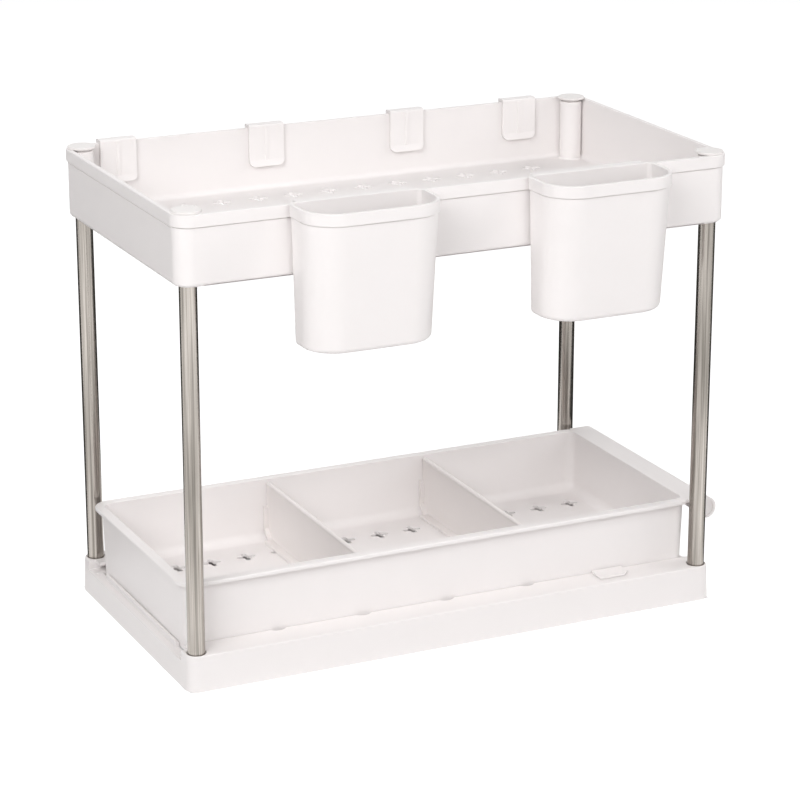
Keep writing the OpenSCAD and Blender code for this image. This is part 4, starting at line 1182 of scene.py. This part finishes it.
class ORGANIZER_OT_stage(bpy.types.Operator):
    """Set up the floor, the lights, the room and the camera"""
    bl_idname = "organizer.stage"
    bl_label = "Stage, lights and camera"

    def execute(self, context):
        scene, s = context.scene, context.scene.organizer_stage
        scene.view_settings.view_transform = "Standard"
        base = scene.organizer_base
        self.make_floor(scene, base.deck_x, base.deck_y)
        self.make_room(scene, s.room_light)
        for name, azimuth, elevation, power in (
                ("key_light", -52, 35, s.key_power), ("front_light", 0, 28, s.front_power),
                ("side_light", 70, 25, s.side_power), ("back_light", 180, 50, s.back_power)):
            self.make_lamp(name, math.radians(azimuth), math.radians(elevation), power, s)
        self.make_dark_ring(s)
        camera = bpy.data.objects.new("camera", bpy.data.cameras.new("camera"))
        scene.collection.objects.link(camera)
        camera.data.lens = s.lens
        camera.data.sensor_width = 36
        camera.data.clip_start, camera.data.clip_end = 0.05, 50
        camera.location = s.camera_place
        camera.rotation_euler = (Vector(s.aim) - Vector(s.camera_place)).to_track_quat("-Z", "Y").to_euler()
        scene.camera = camera
        return {"FINISHED"}

    @staticmethod
    def make_floor(scene, half_x, half_y):
        """A white paper floor that shows as pure white and keeps the soft shadow, with painted shade and a faint
        painted glow under the base.
        """
        bm = bmesh.new()
        bmesh.ops.create_grid(bm, x_segments=1, y_segments=1, size=8)
        mesh = bpy.data.meshes.new("floor")
        bm.to_mesh(mesh)
        bm.free()
        floor = bpy.data.objects.new("floor", mesh)
        scene.collection.objects.link(floor)
        material, tree = new_material("white_paper_floor")
        bounce = add(tree, "ShaderNodeBsdfDiffuse", Color=(0.86, 0.85, 0.85, 1))
        shown = add(tree, "ShaderNodeBsdfDiffuse", Color=(0.45, 0.45, 0.45, 1))
        # Painted shade: little light reaches the paper under the base, so inside the skirt's outline its white glow
        # drops and the floor there shows darker
        place = add(tree, "ShaderNodeSeparateXYZ", Vector=add(tree, "ShaderNodeTexCoord").outputs["Object"])
        inside = None
        for axis, half in (("X", half_x), ("Y", half_y)):
            size = add(tree, "ShaderNodeMath", {"operation": "ABSOLUTE"}, i0=place.outputs[axis])
            near = add(tree, "ShaderNodeMath", {"operation": "LESS_THAN"}, i0=size.outputs[0], i1=half)
            inside = near.outputs[0] if inside is None else add(
                tree, "ShaderNodeMath", {"operation": "MULTIPLY"}, i0=inside, i1=near.outputs[0]).outputs[0]
        # Painted shade: the floor's glow is 0.85 outside the base's outline and 0.32 inside it
        level = add(tree, "ShaderNodeMapRange", Value=inside, i3=0.85, i4=0.32)
        glow = add(tree, "ShaderNodeEmission", Color=(1, 1, 1, 1), Strength=level.outputs[0])
        lit = add(tree, "ShaderNodeAddShader", i0=shown.outputs[0], i1=glow.outputs[0])
        # Painted light: inside the base's outline the floor glows faintly for the light's own rays, which lights the
        # plastic from below
        painted_glow_strength = add(tree, "ShaderNodeMath", {"operation": "MULTIPLY"}, i0=inside, i1=0.12)
        painted_glow = add(tree, "ShaderNodeEmission", Color=(1, 0.98, 0.97, 1), Strength=painted_glow_strength.outputs[0])
        unseen = add(tree, "ShaderNodeAddShader", i0=bounce.outputs[0], i1=painted_glow.outputs[0])
        mixed = add(tree, "ShaderNodeMixShader", i0=seen_rays(tree), i1=unseen.outputs[0], i2=lit.outputs[0])
        add(tree, "ShaderNodeOutputMaterial", Surface=mixed.outputs[0])
        mesh.materials.append(material)

    @staticmethod
    def make_room(scene, strength):
        """An even white room that shows as pure white."""
        world = bpy.data.worlds.new("white_room")
        scene.world = world
        world.use_nodes = True
        tree = world.node_tree
        tree.nodes.clear()
        light = add(tree, "ShaderNodeBackground", Color=(1, 0.985, 0.99, 1), Strength=strength)
        shown = add(tree, "ShaderNodeBackground", Color=(1, 1, 1, 1), Strength=1)
        mixed = add(tree, "ShaderNodeMixShader", i0=seen_rays(tree), i1=light.outputs[0], i2=shown.outputs[0])
        add(tree, "ShaderNodeOutputWorld", Surface=mixed.outputs[0])

    @staticmethod
    def make_lamp(name, azimuth, elevation, power, settings):
        """A large soft lamp that faces the object. Azimuth 0 is in front of it and 90 degrees at its right."""
        aim = Vector((0, 0, 0.15))
        away = Vector((math.sin(azimuth) * math.cos(elevation), -math.cos(azimuth) * math.cos(elevation),
                       math.sin(elevation)))
        lamp = bpy.data.objects.new(name, bpy.data.lights.new(name, "AREA"))
        lamp.data.shape = "SQUARE"
        lamp.data.size = settings.lamp_size
        lamp.data.energy = power
        lamp.location = aim + settings.lamp_far * away
        lamp.rotation_euler = away.to_track_quat("Z", "Y").to_euler()
        bpy.context.scene.collection.objects.link(lamp)

    @staticmethod
    def make_dark_ring(settings):
        """A dark sector of a ring on the floor behind the object, seen only in reflections. A tube's
        reflections run down to the floor, so this gives the tubes their dark edges."""
        near, far, spread_angle = 0.26, 1.7, math.radians(170)
        view = (Vector(settings.aim) - Vector(settings.camera_place)).to_2d().normalized()
        start = view.to_3d()
        start.rotate(Matrix.Rotation(-spread_angle / 2, 3, "Z"))
        bm = bmesh.new()
        verts = [bm.verts.new(start * r + Vector((0, 0, 0.001))) for r in (near, far)]
        edge = bm.edges.new(verts)
        bmesh.ops.spin(
            bm, geom=verts + [edge], cent=(0, 0, 0), axis=(0, 0, 1), angle=spread_angle, steps=28)
        bmesh.ops.recalc_face_normals(bm, faces=bm.faces[:])
        mesh = bpy.data.meshes.new("dark_ring")
        bm.to_mesh(mesh)
        bm.free()
        material, tree = new_material("dark_card")
        shader = add(tree, "ShaderNodeBsdfDiffuse", Color=(0.05, 0.048, 0.045, 1))
        add(tree, "ShaderNodeOutputMaterial", Surface=shader.outputs[0])
        mesh.materials.append(material)
        card = bpy.data.objects.new("dark_ring", mesh)
        bpy.context.scene.collection.objects.link(card)
        card.visible_camera = card.visible_diffuse = card.visible_shadow = False
        card.visible_transmission = card.visible_volume_scatter = False


class ORGANIZER_PT_panel(bpy.types.Panel):
    """The operators and settings of the organizer"""
    bl_idname = "ORGANIZER_PT_panel"
    bl_label = "Under sink organizer"
    bl_space_type = "VIEW_3D"
    bl_region_type = "UI"
    bl_category = "Organizer"

    def draw(self, context):
        for operator in OPERATORS:
            self.layout.operator(operator.bl_idname)
        for name, group in GROUPS.items():
            box = self.layout.box()
            box.label(text=name.capitalize())
            for prop in group.__annotations__:
                box.prop(getattr(context.scene, "organizer_" + name), prop)


GROUPS = {
    "base": ORGANIZER_PG_base,
    "tube": ORGANIZER_PG_tube,
    "tray": ORGANIZER_PG_tray,
    "drawer": ORGANIZER_PG_drawer,
    "hanging": ORGANIZER_PG_hanging,
    "finish": ORGANIZER_PG_finish,
    "stage": ORGANIZER_PG_stage,
}
OPERATORS = (
    ORGANIZER_OT_stage, ORGANIZER_OT_base, ORGANIZER_OT_stops, ORGANIZER_OT_tubes, ORGANIZER_OT_tray,
    ORGANIZER_OT_caps, ORGANIZER_OT_drawer, ORGANIZER_OT_dividers, ORGANIZER_OT_cups, ORGANIZER_OT_hooks,
)


def register():
    for name, group in GROUPS.items():
        bpy.utils.register_class(group)
        setattr(bpy.types.Scene, "organizer_" + name, bpy.props.PointerProperty(type=group))
    for operator in OPERATORS:
        bpy.utils.register_class(operator)
    bpy.utils.register_class(ORGANIZER_PT_panel)


def unregister():
    bpy.utils.unregister_class(ORGANIZER_PT_panel)
    for operator in reversed(OPERATORS):
        bpy.utils.unregister_class(operator)
    for name, group in reversed(GROUPS.items()):
        delattr(bpy.types.Scene, "organizer_" + name)
        bpy.utils.unregister_class(group)


def main():
    register()
    for operator in OPERATORS:
        group, name = operator.bl_idname.split(".")
        getattr(getattr(bpy.ops, group), name)()


if __name__ == "__main__":
    main()
